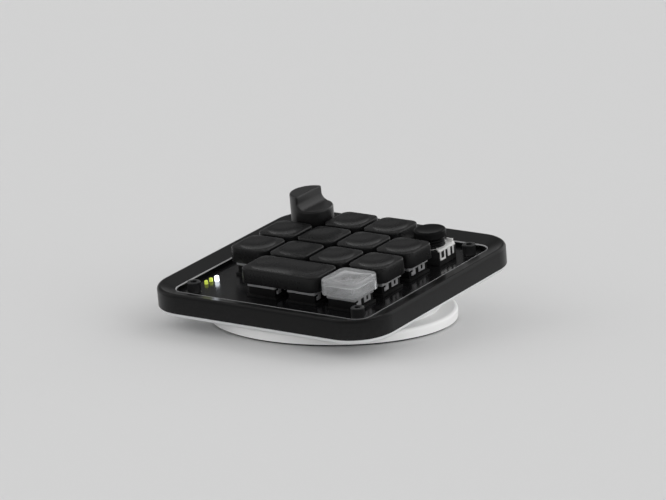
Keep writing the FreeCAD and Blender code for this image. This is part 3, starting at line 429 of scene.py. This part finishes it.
def finishMesh(grid, name, sharpFrom=38.0):
    bmesh.ops.remove_doubles(grid, verts=grid.verts, dist=0.0002 * mm)
    bmesh.ops.recalc_face_normals(grid, faces=grid.faces)
    mesh = bpy.data.meshes.new(name)
    grid.to_mesh(mesh)
    grid.free()
    mesh.shade_smooth()
    mesh.set_sharp_from_angle(angle=math.radians(sharpFrom))
    return mesh


# A piece rides on its body, takes its finish and stands for the solids it covers
def addPiece(name, mesh, body, finish, nodes=(), place=None):
    piece = addObject(name, mesh)
    if not mesh.materials:
        mesh.materials.append(materials[finish])
    if place is not None:
        piece.matrix_world = place
    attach(piece, body)
    if nodes:
        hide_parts(*nodes)
    return piece


def padPlace(x=0.0, y=0.0, turn=0.0):
    return padFrame @ Matrix.Translation((x * mm, y * mm, 0)) @ Matrix.Rotation(math.radians(turn), 4, "Z")


def bevelEdges(grid, width, sharpFrom=35.0):
    sharp = [edge for edge in grid.edges
             if len(edge.link_faces) == 2 and edge.calc_face_angle() > math.radians(sharpFrom)]
    bmesh.ops.bevel(grid, geom=sharp, offset=width * mm, segments=2, profile=0.5, affect="EDGES",
                    clamp_overlap=True)


# A plate with its normals outwards and its edges softened goes into the grid
def addPlate(grid, plate, soft):
    bmesh.ops.recalc_face_normals(plate, faces=plate.faces)
    bevelEdges(plate, soft)
    spare = bpy.data.meshes.new("spare")
    plate.to_mesh(spare)
    plate.free()
    grid.from_mesh(spare)
    bpy.data.meshes.remove(spare)


# Ways to place a plate's two directions and its thickness: lying flat, or upright on one side
def flat(x, y, z):
    return (x, y, z)


def upright(side):
    return lambda y, z, x: (side * x, y, z)


def everywhere(x, y):
    return True


# A plate made of cells between lines of two directions, where filled says so, then thickened and softened
def addCellPlate(grid, acrossLines, alongLines, filled, low, high, toPoint, soft):
    plate = bmesh.new()
    corners = {}

    def corner(i, j, z):
        if (i, j, z) not in corners:
            corners[i, j, z] = plate.verts.new(Vector(toPoint(acrossLines[i], alongLines[j], z)) * mm)
        return corners[i, j, z]

    wide, deep = len(acrossLines) - 1, len(alongLines) - 1
    cells = {(i, j) for i in range(wide) for j in range(deep)
             if filled((acrossLines[i] + acrossLines[i + 1]) / 2, (alongLines[j] + alongLines[j + 1]) / 2)}
    for i, j in cells:
        for z in (low, high):
            square = ((i, j), (i + 1, j), (i + 1, j + 1), (i, j + 1))
            plate.faces.new([corner(*spot, z) for spot in square])
        for (di, dj), (a, b) in {(0, -1): ((0, 0), (1, 0)), (1, 0): ((1, 0), (1, 1)),
                                 (0, 1): ((1, 1), (0, 1)), (-1, 0): ((0, 1), (0, 0))}.items():
            if (i + di, j + dj) not in cells:
                plate.faces.new([corner(i + a[0], j + a[1], low), corner(i + b[0], j + b[1], low),
                                 corner(i + b[0], j + b[1], high), corner(i + a[0], j + a[1], high)])
    addPlate(grid, plate, soft)


# The solid of a node with its hard edges softened, as its own piece
def softCopy(node, finish, width):
    grid = bmesh.new()
    grid.from_mesh(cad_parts[node].data)
    bmesh.ops.remove_doubles(grid, verts=grid.verts, dist=0.0005 * mm)
    bmesh.ops.dissolve_limit(grid, angle_limit=math.radians(0.5), verts=grid.verts, edges=grid.edges)
    bevelEdges(grid, width)
    addPiece(f"{node}_soft", finishMesh(grid, f"{node}_soft", 35.0), "pad", finish, [node])


# A turned piece, its profile given as radius and height. A closed one has a hole right through.
def turned(name, profile, count, sharpFrom=38.0, closed=False):
    rings = [level(circleOutline(radius, count), z) for radius, z in profile]
    grid = bmesh.new()
    addRings(grid, rings + rings[:1] if closed else rings)
    return finishMesh(grid, name, sharpFrom)


# Keycaps: a tapered skirt, a rolled top edge and a round dish with a soft rim, hollow below with a post

cap = {"pitch": 19.05, "half": 8.775, "bottom": 10.0, "top": 16.1, "taper": 2.0, "corner": 3.5,
       "leastCorner": 0.3, "edge": 0.6, "foot": 0.2, "wall": 1.2, "roof": 1.2, "dishRadius": 7.2,
       "dishDepth": 1.0, "rimSoft": 0.07, "boss": 2.8, "bossBottom": 10.1, "bossSoft": 0.15,
       "bossFlare": 0.4, "bossIntoRoof": 0.3, "crossLong": 4.16, "crossThick": 1.31, "crossTop": 13.53,
       "points": 144, "widePoints": 224, "skirtShares": (0.35, 0.7), "flatReach": 3.0,
       "dishReaches": (7.85, 7.65, 7.5, 7.4, 7.3, 7.2, 7.1, 7.0, 6.85, 6.6, 6.2, 5.6,
                       4.8, 3.8, 2.6, 1.3, 0.0)}


# Where a key stands on the pad, rows counted from the back
def keySpot(row, column):
    return (column - 2.5) * cap["pitch"], (2.5 - row) * cap["pitch"]


# The dish is a shallow bowl that runs out softly into the flat top
def dishDrop(reach):
    bowl = -cap["dishDepth"] * (1 - (reach / cap["dishRadius"]) ** 2)
    soft = cap["rimSoft"]
    share = max(0.0, min(1.0, 0.5 - 0.5 * bowl / soft))
    return bowl * share - soft * share * (1 - share)


# How far the edge of a plus sign is from its middle, in one direction
def crossReach(angle):
    x, y = abs(math.cos(angle)), abs(math.sin(angle))
    long, thick = cap["crossLong"] / 2, cap["crossThick"] / 2

    def barReach(a, b):
        return min(a / x if x > 1e-9 else 1e9, b / y if y > 1e-9 else 1e9)

    return max(barReach(long, thick), barReach(thick, long))


def crossOutline(count):
    angles = [2 * math.pi * step / count for step in range(count)]
    return [(crossReach(a) * math.cos(a), crossReach(a) * math.sin(a)) for a in angles]


# The cross socket from its upper end down, then the post's underside out to its own wall
def bossRings(count):
    boss, low, soft = cap["boss"], cap["bossBottom"], cap["bossSoft"]
    return [level(circleOutline(0, count), cap["crossTop"]), level(crossOutline(count), cap["crossTop"]),
            level(crossOutline(count), low), level(circleOutline(boss - soft, count), low),
            level(circleOutline(boss, count), low + soft)]


# A ring of the dish: a circle, or on the wide cap a long one with round ends
def bowlRing(extra, count, reach, z):
    return level(roundedOutline(extra + reach, reach, reach, count), z)


# A wide cap reaches further to each side by extra, and has a post under each end
def makeCapMesh(name, extra=0.0):
    count = cap["widePoints"] if extra else cap["points"]
    top, bottom, edge, foot = cap["top"], cap["bottom"], cap["edge"], cap["foot"]

    def skirt(z, inset=0.0):
        lean = (z - bottom) * math.tan(math.radians(cap["taper"]))
        corner = max(cap["corner"] - lean - inset, cap["leastCorner"])
        across, along = cap["half"] + extra - lean - inset, cap["half"] - lean - inset
        return level(roundedOutline(across, along, corner, count), z)

    def inside(z, inset=0.0):
        reach = cap["half"] - cap["wall"] - inset
        corner = cap["corner"] - cap["wall"] - inset * 0.5
        return level(roundedOutline(reach + extra, reach, corner, count), z)

    ceiling = top - cap["dishDepth"] - cap["roof"]
    if extra:
        rings = [bowlRing(extra, count, reach, ceiling) for reach in (0.0, cap["flatReach"])]
    else:
        flare = cap["bossFlare"]
        rings = bossRings(count) + [level(circleOutline(cap["boss"] + out, count), ceiling - flare + rise)
                                    for out, rise in quarterRound(flare, 3)]
    rings += [inside(ceiling, 0.5), inside(ceiling - 0.15, 0.15), inside(ceiling - 0.5),
              inside(bottom + foot), inside(bottom, -foot * 0.7)]
    rings += [skirt(bottom, foot * 0.6), skirt(bottom + foot * 0.4, foot * 0.1), skirt(bottom + foot)]
    rings += [skirt(bottom + (top - edge - bottom) * share) for share in cap["skirtShares"]]
    rings += [skirt(top - edge + rise, inset) for inset, rise in quarterRound(edge, 6)]
    rings += [bowlRing(extra, count, reach, top + dishDrop(reach)) for reach in cap["dishReaches"]]
    grid = bmesh.new()
    addRings(grid, rings)
    if extra:
        for side in (-1, 1):
            addBoss(grid, side * extra, ceiling + cap["bossIntoRoof"])
    return finishMesh(grid, name, 50.0)


def addBoss(grid, shift, end):
    count = cap["points"]
    rings = bossRings(count) + [level(circleOutline(radius, count), end) for radius in (cap["boss"], 0)]
    addRings(grid, [[(x + shift, y, z) for x, y, z in ring] for ring in rings])


def makeKeycaps():
    singles = {1: (2, 3), 2: (1, 2, 3, 4), 3: (1, 2, 3, 4), 4: (4,)}
    black = makeCapMesh("cap")
    frosted = makeCapMesh("cap_frosted")
    for row, columns in singles.items():
        for column in columns:
            mesh, finish = (frosted, "cap_frosted") if row == 4 else (black, "cap_black")
            addPiece(f"cap_r{row}c{column}", mesh, f"key_r{row}c{column}", finish,
                     [f"keycap_r{row}c{column}"], padPlace(*keySpot(row, column)))
    addPiece("cap_wide", makeCapMesh("cap_wide", cap["pitch"] / 2), "key_wide", "cap_black", ["keycap_wide"],
             padPlace(*keySpot(4, 2.5)))


makeKeycaps()
print("keycaps made")


# Switch covers: a smoky band with a roof, and on each side a hook and a slotted clip over the black base

cover = {"bottom": 8.2, "top": 9.9, "half": 6.6, "wall": 1.0, "roof": 0.6, "holeX": 3.7, "holeY": 3.1,
         "legThick": 0.35, "legBottom": 5.9, "legTopGap": 0.1, "legSideGap": 0.05, "hook": (-5.0, -2.2),
         "hookStep": -3.9, "hookTop": 7.3, "clip": (0.1, 4.3), "slot": (1.5, 2.9), "slotBottom": 6.5,
         "roofSoft": 0.12, "bandSoft": 0.05, "legSoft": 0.09, "overlap": 0.02, "baseSoft": 0.15}


def makeCoverMesh():
    grid = bmesh.new()
    k = cover
    half, wall, bandBottom, roofBottom = k["half"], k["wall"], k["bottom"], k["top"] - k["roof"]
    body = half - k["legThick"]
    across = [-body, -body + wall, -k["holeX"], k["holeX"], body - wall, body]
    along = [-half, -half + wall, -k["holeY"], k["holeY"], half - wall, half]
    addCellPlate(grid, across, along, lambda x, y: abs(x) > k["holeX"] or abs(y) > k["holeY"],
                 roofBottom, k["top"], flat, k["roofSoft"])
    addCellPlate(grid, across, along, lambda x, y: abs(x) > body - wall or abs(y) > half - wall,
                 bandBottom, roofBottom + k["overlap"], flat, k["bandSoft"])
    heights = [k["legBottom"], k["slotBottom"], k["hookTop"], bandBottom, k["top"] - k["legTopGap"]]
    end = half - k["legSideGap"]
    ways = sorted({-end, end, *k["hook"], k["hookStep"], *k["clip"], *k["slot"]})

    def isLeg(y, z):
        if z > bandBottom:
            return True
        if k["hook"][0] < y < k["hook"][1]:
            return y > k["hookStep"] or z < k["hookTop"]
        inClip = k["clip"][0] < y < k["clip"][1]
        inSlot = k["slot"][0] < y < k["slot"][1] and z > k["slotBottom"]
        return inClip and not inSlot

    for side in (-1, 1):
        addCellPlate(grid, ways, heights, isLeg, body - k["overlap"], half, upright(side), k["legSoft"])
    return finishMesh(grid, "switch_cover")


switchColumns = {1: (2, 3), 2: (1, 2, 3, 4), 3: (1, 2, 3, 4), 4: (2, 3, 4)}


def makeSwitches():
    coverMesh = makeCoverMesh()
    for row, columns in switchColumns.items():
        for column in columns:
            addPiece(f"cover_r{row}c{column}", coverMesh, "pad", "switch_smoke",
                     [f"switch_covers_row_{row}"], padPlace(*keySpot(row, column)))
        softCopy(f"switch_bases_row_{row}", "switch_black", cover["baseSoft"])


makeSwitches()
print("switches made")


# Springs: each coil stands on its base

spring = {"radius": 1.4, "wire": 0.14, "low": 5.0, "high": 8.2, "turns": 3.5, "stepsPerTurn": 20,
          "sides": 8}


def makeSpringMesh():
    k = spring
    steps = int(k["turns"] * k["stepsPerTurn"])
    climb = k["high"] - k["low"] - 2 * k["wire"]
    rings = []
    for step in range(steps + 1):
        around = 2 * math.pi * step / k["stepsPerTurn"]
        middle = k["low"] + k["wire"] + climb * step / steps
        ring = []
        for side in range(k["sides"]):
            turn = 2 * math.pi * side / k["sides"]
            reach = k["radius"] + k["wire"] * math.cos(turn)
            z = middle + k["wire"] * math.sin(turn)
            ring.append((reach * math.cos(around), reach * math.sin(around), z))
        rings.append(ring)
    grid = bmesh.new()
    addRings(grid, rings, closeStart=True, closeEnd=True)
    return finishMesh(grid, "switch_spring")


def makeSprings():
    pattern = makeSpringMesh()
    pattern.materials.append(materials["spring_steel"])
    for row, columns in switchColumns.items():
        for column in columns:
            x, y = keySpot(row, column)
            piece = addObject(f"spring_r{row}c{column}", pattern.copy())
            piece.matrix_world = padPlace(x, y)
            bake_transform(piece)
            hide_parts("switch_springs")


makeSprings()
print("springs made")


# Corner screws: knurled cap screws with a chamfered rim and a hexagonal socket

screw = {"place": 39.4, "bottom": 4.0, "top": 8.4, "radius": 2.7, "knurls": 30, "knurlDepth": 0.1,
         "knurlSharpness": 0.7, "soft": 0.15, "plainHeight": 0.5, "chamfer": 0.35, "hexRadius": 1.45,
         "hexDepth": 2.2, "hexChamfer": 0.2, "hexTip": 0.4, "shankRadius": 1.2, "shankBottom": 0.2,
         "shankSoft": 0.2, "turn": 11.0, "points": 180}


# Points of an outline whose reach depends on the angle
def reachOutline(reachAt):
    angles = [2 * math.pi * step / screw["points"] for step in range(screw["points"])]
    return [(reachAt(angle) * math.cos(angle), reachAt(angle) * math.sin(angle)) for angle in angles]


def knurlReach(angle):
    wave = abs(math.sin(angle * screw["knurls"] / 2)) ** screw["knurlSharpness"]
    return screw["radius"] - screw["knurlDepth"] * wave


def hexOutline(radius):
    def hexReach(angle):
        fold = (angle + math.pi / 6) % (math.pi / 3) - math.pi / 6
        return radius * math.cos(math.pi / 6) / math.cos(fold)

    return reachOutline(hexReach)


def makeScrewMesh():
    k = screw
    bottom, top, rim, shank, soft = k["bottom"], k["top"], k["radius"], k["shankRadius"], k["soft"]
    knurls, bore = reachOutline(knurlReach), hexOutline(k["hexRadius"])
    shoulder = top - k["chamfer"]

    def circle(radius, z):
        return level(circleOutline(radius, k["points"]), z)

    rings = [circle(0, k["shankBottom"]), circle(shank - k["shankSoft"], k["shankBottom"]),
             circle(shank, k["shankBottom"] + k["shankSoft"]), circle(shank, bottom),
             circle(rim - soft, bottom), circle(rim, bottom + soft), circle(rim, bottom + k["plainHeight"]),
             level(knurls, bottom + k["plainHeight"] + soft), level(knurls, shoulder - soft),
             circle(rim, shoulder)]
    rings += [circle(rim - inset, shoulder + rise) for inset, rise in quarterRound(k["chamfer"], 4)]
    rings += [level(hexOutline(k["hexRadius"] + k["hexChamfer"]), top), level(bore, top - k["hexChamfer"]),
              level(bore, top - k["hexDepth"]), circle(0, top - k["hexDepth"] - k["hexTip"])]
    grid = bmesh.new()
    addRings(grid, rings)
    return finishMesh(grid, "corner_screw", 32.0)


def makeScrews():
    mesh = makeScrewMesh()
    corners = {"front_left": (-1, -1), "front_right": (1, -1), "back_right": (1, 1), "back_left": (-1, 1)}
    for name, (signX, signY) in corners.items():
        addPiece(f"screw_{name}", mesh, "pad", "screw_black", ["corner_screws"],
                 padPlace(signX * screw["place"], signY * screw["place"], screw["turn"] * signX))


makeScrews()
print("screws made")


# A thin pale strip all round the window at the bezel's lower edge: a painted highlight standing for the
# light caught by that edge's chamfer

line = {"half": 46.05, "corner": 5.5, "chamfer": 0.35, "top": 6.0, "thick": 0.09, "points": 480}


def makeBezelHighlight():
    half, corner, chamfer = line["half"], line["corner"], line["chamfer"]
    low, thick = line["top"] - chamfer, line["thick"]
    profile = [(-0.02, low - 0.03), (chamfer + 0.03, line["top"] + 0.01),
               (chamfer - 0.04, line["top"] + thick), (-0.04, low + thick)]
    rings = [level(roundedOutline(half + out, half + out, corner + out, line["points"]), z)
             for out, z in profile]
    grid = bmesh.new()
    addRings(grid, rings + rings[:1])
    return finishMesh(grid, "bezel_painted_highlight", 30.0)


addPiece("bezel_painted_highlight", makeBezelHighlight(), "pad", "painted_highlight_pale", place=padPlace())


# Round knob: turned, with a dished head, a cone under it and two rings on its neck

roundKnob = {"x": 28.575, "y": 28.575, "bottom": 11.3, "top": 17.0, "radius": 6.5, "edge": 0.75,
             "lip": 0.5, "dish": 0.35, "headBottom": 14.0, "headIn": 0.5, "headUnder": 0.25,
             "headSoft": 0.2, "neck": 5.1, "cone": 1.0, "coneGap": 0.35, "ring": 5.7, "ringHeight": 0.7,
             "ringStep": 1.3, "ringSoft": 0.2, "bore": 3.02, "boreTop": 15.4, "socket": 4.3,
             "socketTop": 12.9, "points": 128, "dishShares": (1.0, 0.97, 0.92, 0.84, 0.7, 0.5, 0.25, 0.0)}


def makeRoundKnobProfile():
    k = roundKnob
    profile = [(0, k["boreTop"]), (k["bore"], k["boreTop"]), (k["bore"], k["socketTop"]),
               (k["socket"], k["socketTop"]), (k["socket"], k["bottom"])]
    soft = k["ringSoft"]
    for ring in (0, 1):
        low = k["bottom"] + ring * k["ringStep"]
        high = low + k["ringHeight"]
        if ring:
            profile += [(k["neck"], low)]
        profile += [(k["ring"] - soft, low), (k["ring"], low + soft), (k["ring"], high - soft),
                    (k["ring"] - soft, high), (k["neck"], high)]
    profile += [(k["neck"], k["headBottom"] - k["cone"] + k["coneGap"]),
                (k["radius"] - k["headIn"], k["headBottom"] - k["headUnder"]),
                (k["radius"], k["headBottom"] + k["headSoft"])]
    shoulder = k["top"] - k["edge"]
    profile += [(k["radius"] - inset, shoulder + rise) for inset, rise in quarterRound(k["edge"], 7)]
    bowl = k["radius"] - k["edge"] - k["lip"]
    profile += [(bowl * share, k["top"] - k["dish"] * (1 - share ** 2) ** 0.8) for share in k["dishShares"]]
    return profile


roundPlace = padPlace(roundKnob["x"], roundKnob["y"])
addPiece("round_knob", turned("round_knob", makeRoundKnobProfile(), roundKnob["points"], 35.0), "dial_round",
         "dial_black", ["knob_round"], roundPlace)
print("knob turned")


# Tall knob: the solid's own shape with every edge worn soft, from a fine even mesh smoothed a few times

tallKnob = {"cell": 0.2, "rounds": 10, "pull": 0.5}


def makeTallKnob():
    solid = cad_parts["knob_tall"]
    rough = addObject("rough_knob", solid.data.copy())
    remesh = rough.modifiers.new("even", "REMESH")
    remesh.mode = "VOXEL"
    remesh.voxel_size = tallKnob["cell"] * mm
    made = bpy.data.meshes.new_from_object(rough.evaluated_get(bpy.context.evaluated_depsgraph_get()))
    bpy.data.objects.remove(rough)
    grid = bmesh.new()
    grid.from_mesh(made)
    for turn in range(tallKnob["rounds"]):
        bmesh.ops.smooth_vert(grid, verts=grid.verts, factor=tallKnob["pull"],
                              use_axis_x=True, use_axis_y=True, use_axis_z=True)
    mesh = finishMesh(grid, "tall_knob", 60.0)
    mesh.materials.clear()
    addPiece("tall_knob", mesh, "dial_tall", "knob_black", ["knob_tall"], solid.matrix_world.copy())


makeTallKnob()
print("tall knob softened")


# Encoders: the tall one has the solid's frame with softened edges. The round one shows more, so it has
# a bracket open to the front with slotted legs and a lug, and a ringed collar with a bright washer.

encoderSoft = {"base": 0.12, "frame": 0.07}
for label in ("tall", "round"):
    softCopy(f"encoder_base_{label}", "encoder_black", encoderSoft["base"])
softCopy("encoder_frame_tall", "encoder_nickel", encoderSoft["frame"])

bracket = {"halfX": 8.3, "halfY": 6.2, "low": 9.9, "high": 10.5, "opening": 5.9, "openFrom": -36.0,
           "openTo": 205.0, "steps": 60, "frontFrom": 7.5, "notch": (7.2, 4.9), "legThick": 0.3,
           "legBottom": 6.3, "legFrontGap": 0.1, "legTopGap": 0.08, "legInset": 0.01,
           "clip": (-5.9, -2.1), "slot": (-5.1, -2.9), "slotBottom": 7.1, "tab": (-0.55, 1.35),
           "tabBottom": 6.6, "sliver": (2.95, 3.85), "soft": 0.06, "lugX": (3.6, 6.7), "lugY": (5.6, 6.2),
           "lugTop": 11.75, "lugOverlap": 0.1, "lugSoft": 0.1}
collar = {"inner": 4.2, "low": 9.85, "top": 10.75, "radius": 5.25, "ring": 5.65, "ringHeight": 0.5,
          "soft": 0.1, "washer": 5.85, "washerGap": 0.02, "washerHeight": 0.16, "washerSoft": 0.05,
          "points": 96}


# The plate with its round opening, then the legs on both sides and the lug
def makeBracket():
    grid = bmesh.new()
    k = bracket
    x1, y1, (notchX, notchY) = k["halfX"], k["halfY"], k["notch"]
    turn = math.radians(k["openFrom"])
    sweep = math.radians(k["openTo"] - k["openFrom"])
    angles = [turn + sweep * step / k["steps"] for step in range(k["steps"] + 1)]
    arc = [(k["opening"] * math.cos(angle), k["opening"] * math.sin(angle)) for angle in angles]
    corners = [(k["frontFrom"], -y1), (x1, -y1), (x1, notchY), (notchX, notchY), (notchX, y1), (-x1, y1),
               (-x1, arc[-1][1])] + arc[::-1]
    plate = bmesh.new()
    addRings(plate, [level(corners, k["low"]), level(corners, k["high"])], closeStart=True, closeEnd=True)
    addPlate(grid, plate, k["soft"])
    ways = sorted({-y1 + k["legFrontGap"], notchY, *k["clip"], *k["slot"], *k["tab"], *k["sliver"]})
    heights = [k["legBottom"], k["tabBottom"], k["slotBottom"], k["low"], k["high"] - k["legTopGap"]]

    def isLeg(y, z):
        if z > k["low"]:
            return True
        if k["clip"][0] < y < k["clip"][1]:
            return not (k["slot"][0] < y < k["slot"][1] and z > k["slotBottom"])
        if k["tab"][0] < y < k["tab"][1] or k["sliver"][0] < y < k["sliver"][1]:
            return z > k["tabBottom"]
        return False

    for side in (-1, 1):
        addCellPlate(grid, ways, heights, isLeg, x1 - k["legThick"], x1 - k["legInset"],
                     upright(side), k["soft"])
    addCellPlate(grid, k["lugX"], k["lugY"], everywhere, k["high"] - k["lugOverlap"], k["lugTop"],
                 flat, k["lugSoft"])
    return finishMesh(grid, "encoder_bracket")


def makeCollar():
    k = collar
    soft, ring, low = k["soft"], k["ring"], k["low"] + k["washerHeight"]
    high = low + k["ringHeight"]
    profile = [(k["inner"], k["top"]), (k["inner"], k["low"]), (k["radius"], k["low"]), (k["radius"], low),
               (ring - soft, low), (ring, low + soft), (ring, high - soft), (ring - soft, high),
               (k["radius"], high), (k["radius"], k["top"] - soft), (k["radius"] - soft, k["top"])]
    return turned("encoder_collar", profile, k["points"], closed=True)


def makeWasher():
    k = collar
    inner, low, high = k["radius"] + k["washerGap"], k["low"], k["low"] + k["washerHeight"]
    profile = [(inner, low), (k["washer"], low), (k["washer"], high - k["washerSoft"]),
               (k["washer"] - k["washerSoft"], high), (inner, high)]
    return turned("encoder_washer", profile, k["points"], closed=True)


addPiece("encoder_bracket", makeBracket(), "pad", "encoder_nickel", ["encoder_frame_round"], roundPlace)
addPiece("encoder_collar", makeCollar(), "pad", "collar_black", place=roundPlace)
addPiece("encoder_washer", makeWasher(), "pad", "encoder_nickel", place=roundPlace)


# The socket's contacts, two rows on its tongue

contacts = {"count": 12, "pitch": 0.5, "width": 0.26, "length": 3.2, "thick": 0.04, "sunk": 0.01,
            "soft": 0.012, "front": 53.0, "centre": 2.3, "tongue": 0.7}


def makeContacts():
    grid = bmesh.new()
    c = contacts
    along = [c["front"] - c["length"], c["front"]]
    for side in (-1, 1):
        face = c["centre"] + side * c["tongue"] / 2
        low, high = sorted((face - side * c["sunk"], face + side * c["thick"]))
        for step in range(c["count"]):
            x = (step - (c["count"] - 1) / 2) * c["pitch"]
            across = [x - c["width"] / 2, x + c["width"] / 2]
            addCellPlate(grid, across, along, everywhere, low, high, flat, c["soft"])
    return finishMesh(grid, "socket_contacts")


addPiece("socket_contacts", makeContacts(), "pad", "insert_brass", place=padPlace())
print("encoder and socket details made")


# Floor, sky and lamps

studio = {"floorHalf": 6.0, "floorGrey": 0.67, "floorShades": (0.99, 1.01), "floorGrain": 900.0,
          "floorDetail": 4.0, "floorGloss": 0.9, "floorShine": 0.1, "fillLow": 1.5, "fillHigh": 0.25,
          "sky": [(0.0, 0.6), (0.12, 0.6), (0.22, 0.46), (0.37, 0.1), (0.5, 0.07),
                  (0.66, 0.32), (1.0, 0.18)]}

# Wide soft lamps far off: the way to each, how wide it looks in degrees, and its light on a facing surface
lampRigs = {
    "backSoft": {"towards": (0.25, 0.85, 0.42), "spread": 56.0, "light": 0.75},
    "rightSoft": {"towards": (0.95, 0.05, 0.42), "spread": 50.0, "light": 0.45},
    "leftSoft": {"towards": (-0.80, -0.25, 0.45), "spread": 50.0, "light": 0.3},
    "topSoft": {"towards": (-0.20, 0.20, 1.0), "spread": 70.0, "light": 0.28},
}


def makeFloor():
    mesh = bpy.data.meshes.new("floor")
    grid = bmesh.new()
    bmesh.ops.create_grid(grid, x_segments=12, y_segments=12, size=studio["floorHalf"])
    grid.to_mesh(mesh)
    grid.free()
    floor = addObject("floor", mesh)
    material = bpy.data.materials.new("studio_paper")
    material.use_nodes = True
    tree = material.node_tree
    shader = tree.nodes["Principled BSDF"]
    place = tree.nodes.new("ShaderNodeTexCoord").outputs["Object"]
    grain = noiseNode(tree, place, studio["floorGrain"], studio["floorDetail"])
    tone = mixColour(tree, grain, *(grey(studio["floorGrey"] * shade) for shade in studio["floorShades"]))
    tree.links.new(tone, shader.inputs["Base Color"])
    shader.inputs["Roughness"].default_value = studio["floorGloss"]
    shader.inputs["Specular IOR Level"].default_value = studio["floorShine"]
    mesh.materials.append(material)


def makeLamp(name, rig):
    data = bpy.data.lights.new(name, "SUN")
    data.angle = math.radians(rig["spread"])
    data.energy = rig["light"]
    lamp = addObject(name, data)
    lamp.matrix_world = Vector(rig["towards"]).to_track_quat("Z", "Y").to_matrix().to_4x4()


# The fill is brighter low down. The camera, reflections and clear pieces see a sky that is pale at the
# horizon, dark at a third of the way up and lighter again overhead.
def makeWorld():
    world = bpy.data.worlds.new("studio")
    world.use_nodes = True
    tree = world.node_tree
    fill = tree.nodes["Background"]
    towards = tree.nodes.new("ShaderNodeSeparateXYZ")
    tree.links.new(tree.nodes.new("ShaderNodeTexCoord").outputs["Generated"], towards.inputs[0])
    up = mathNode(tree, "MAXIMUM", towards.outputs["Z"], 0.0)
    ramp = tree.nodes.new("ShaderNodeValToRGB")
    tree.links.new(up, ramp.inputs["Fac"])
    stops = ramp.color_ramp.elements
    while len(stops) < len(studio["sky"]):
        stops.new(0.5)
    for stop, (height, tone) in zip(stops, studio["sky"]):
        stop.position = height
        stop.color = grey(tone)
    even = mixColour(tree, up, grey(studio["fillLow"]), grey(studio["fillHigh"]))
    tree.links.new(even, fill.inputs["Color"])
    sky = tree.nodes.new("ShaderNodeBackground")
    tree.links.new(ramp.outputs["Color"], sky.inputs["Color"])
    path = tree.nodes.new("ShaderNodeLightPath")
    seen = mathNode(tree, "MAXIMUM", path.outputs["Is Camera Ray"], path.outputs["Is Glossy Ray"])
    seen = mathNode(tree, "MAXIMUM", seen, path.outputs["Is Transmission Ray"])
    mix = tree.nodes.new("ShaderNodeMixShader")
    tree.links.new(seen, mix.inputs[0])
    tree.links.new(fill.outputs[0], mix.inputs[1])
    tree.links.new(sky.outputs[0], mix.inputs[2])
    tree.links.new(mix.outputs[0], tree.nodes["World Output"].inputs["Surface"])
    bpy.context.scene.world = world


makeFloor()
makeWorld()
for name, rig in lampRigs.items():
    makeLamp(name, rig)
bpy.context.scene.view_settings.view_transform = "Standard"
print("studio ready")
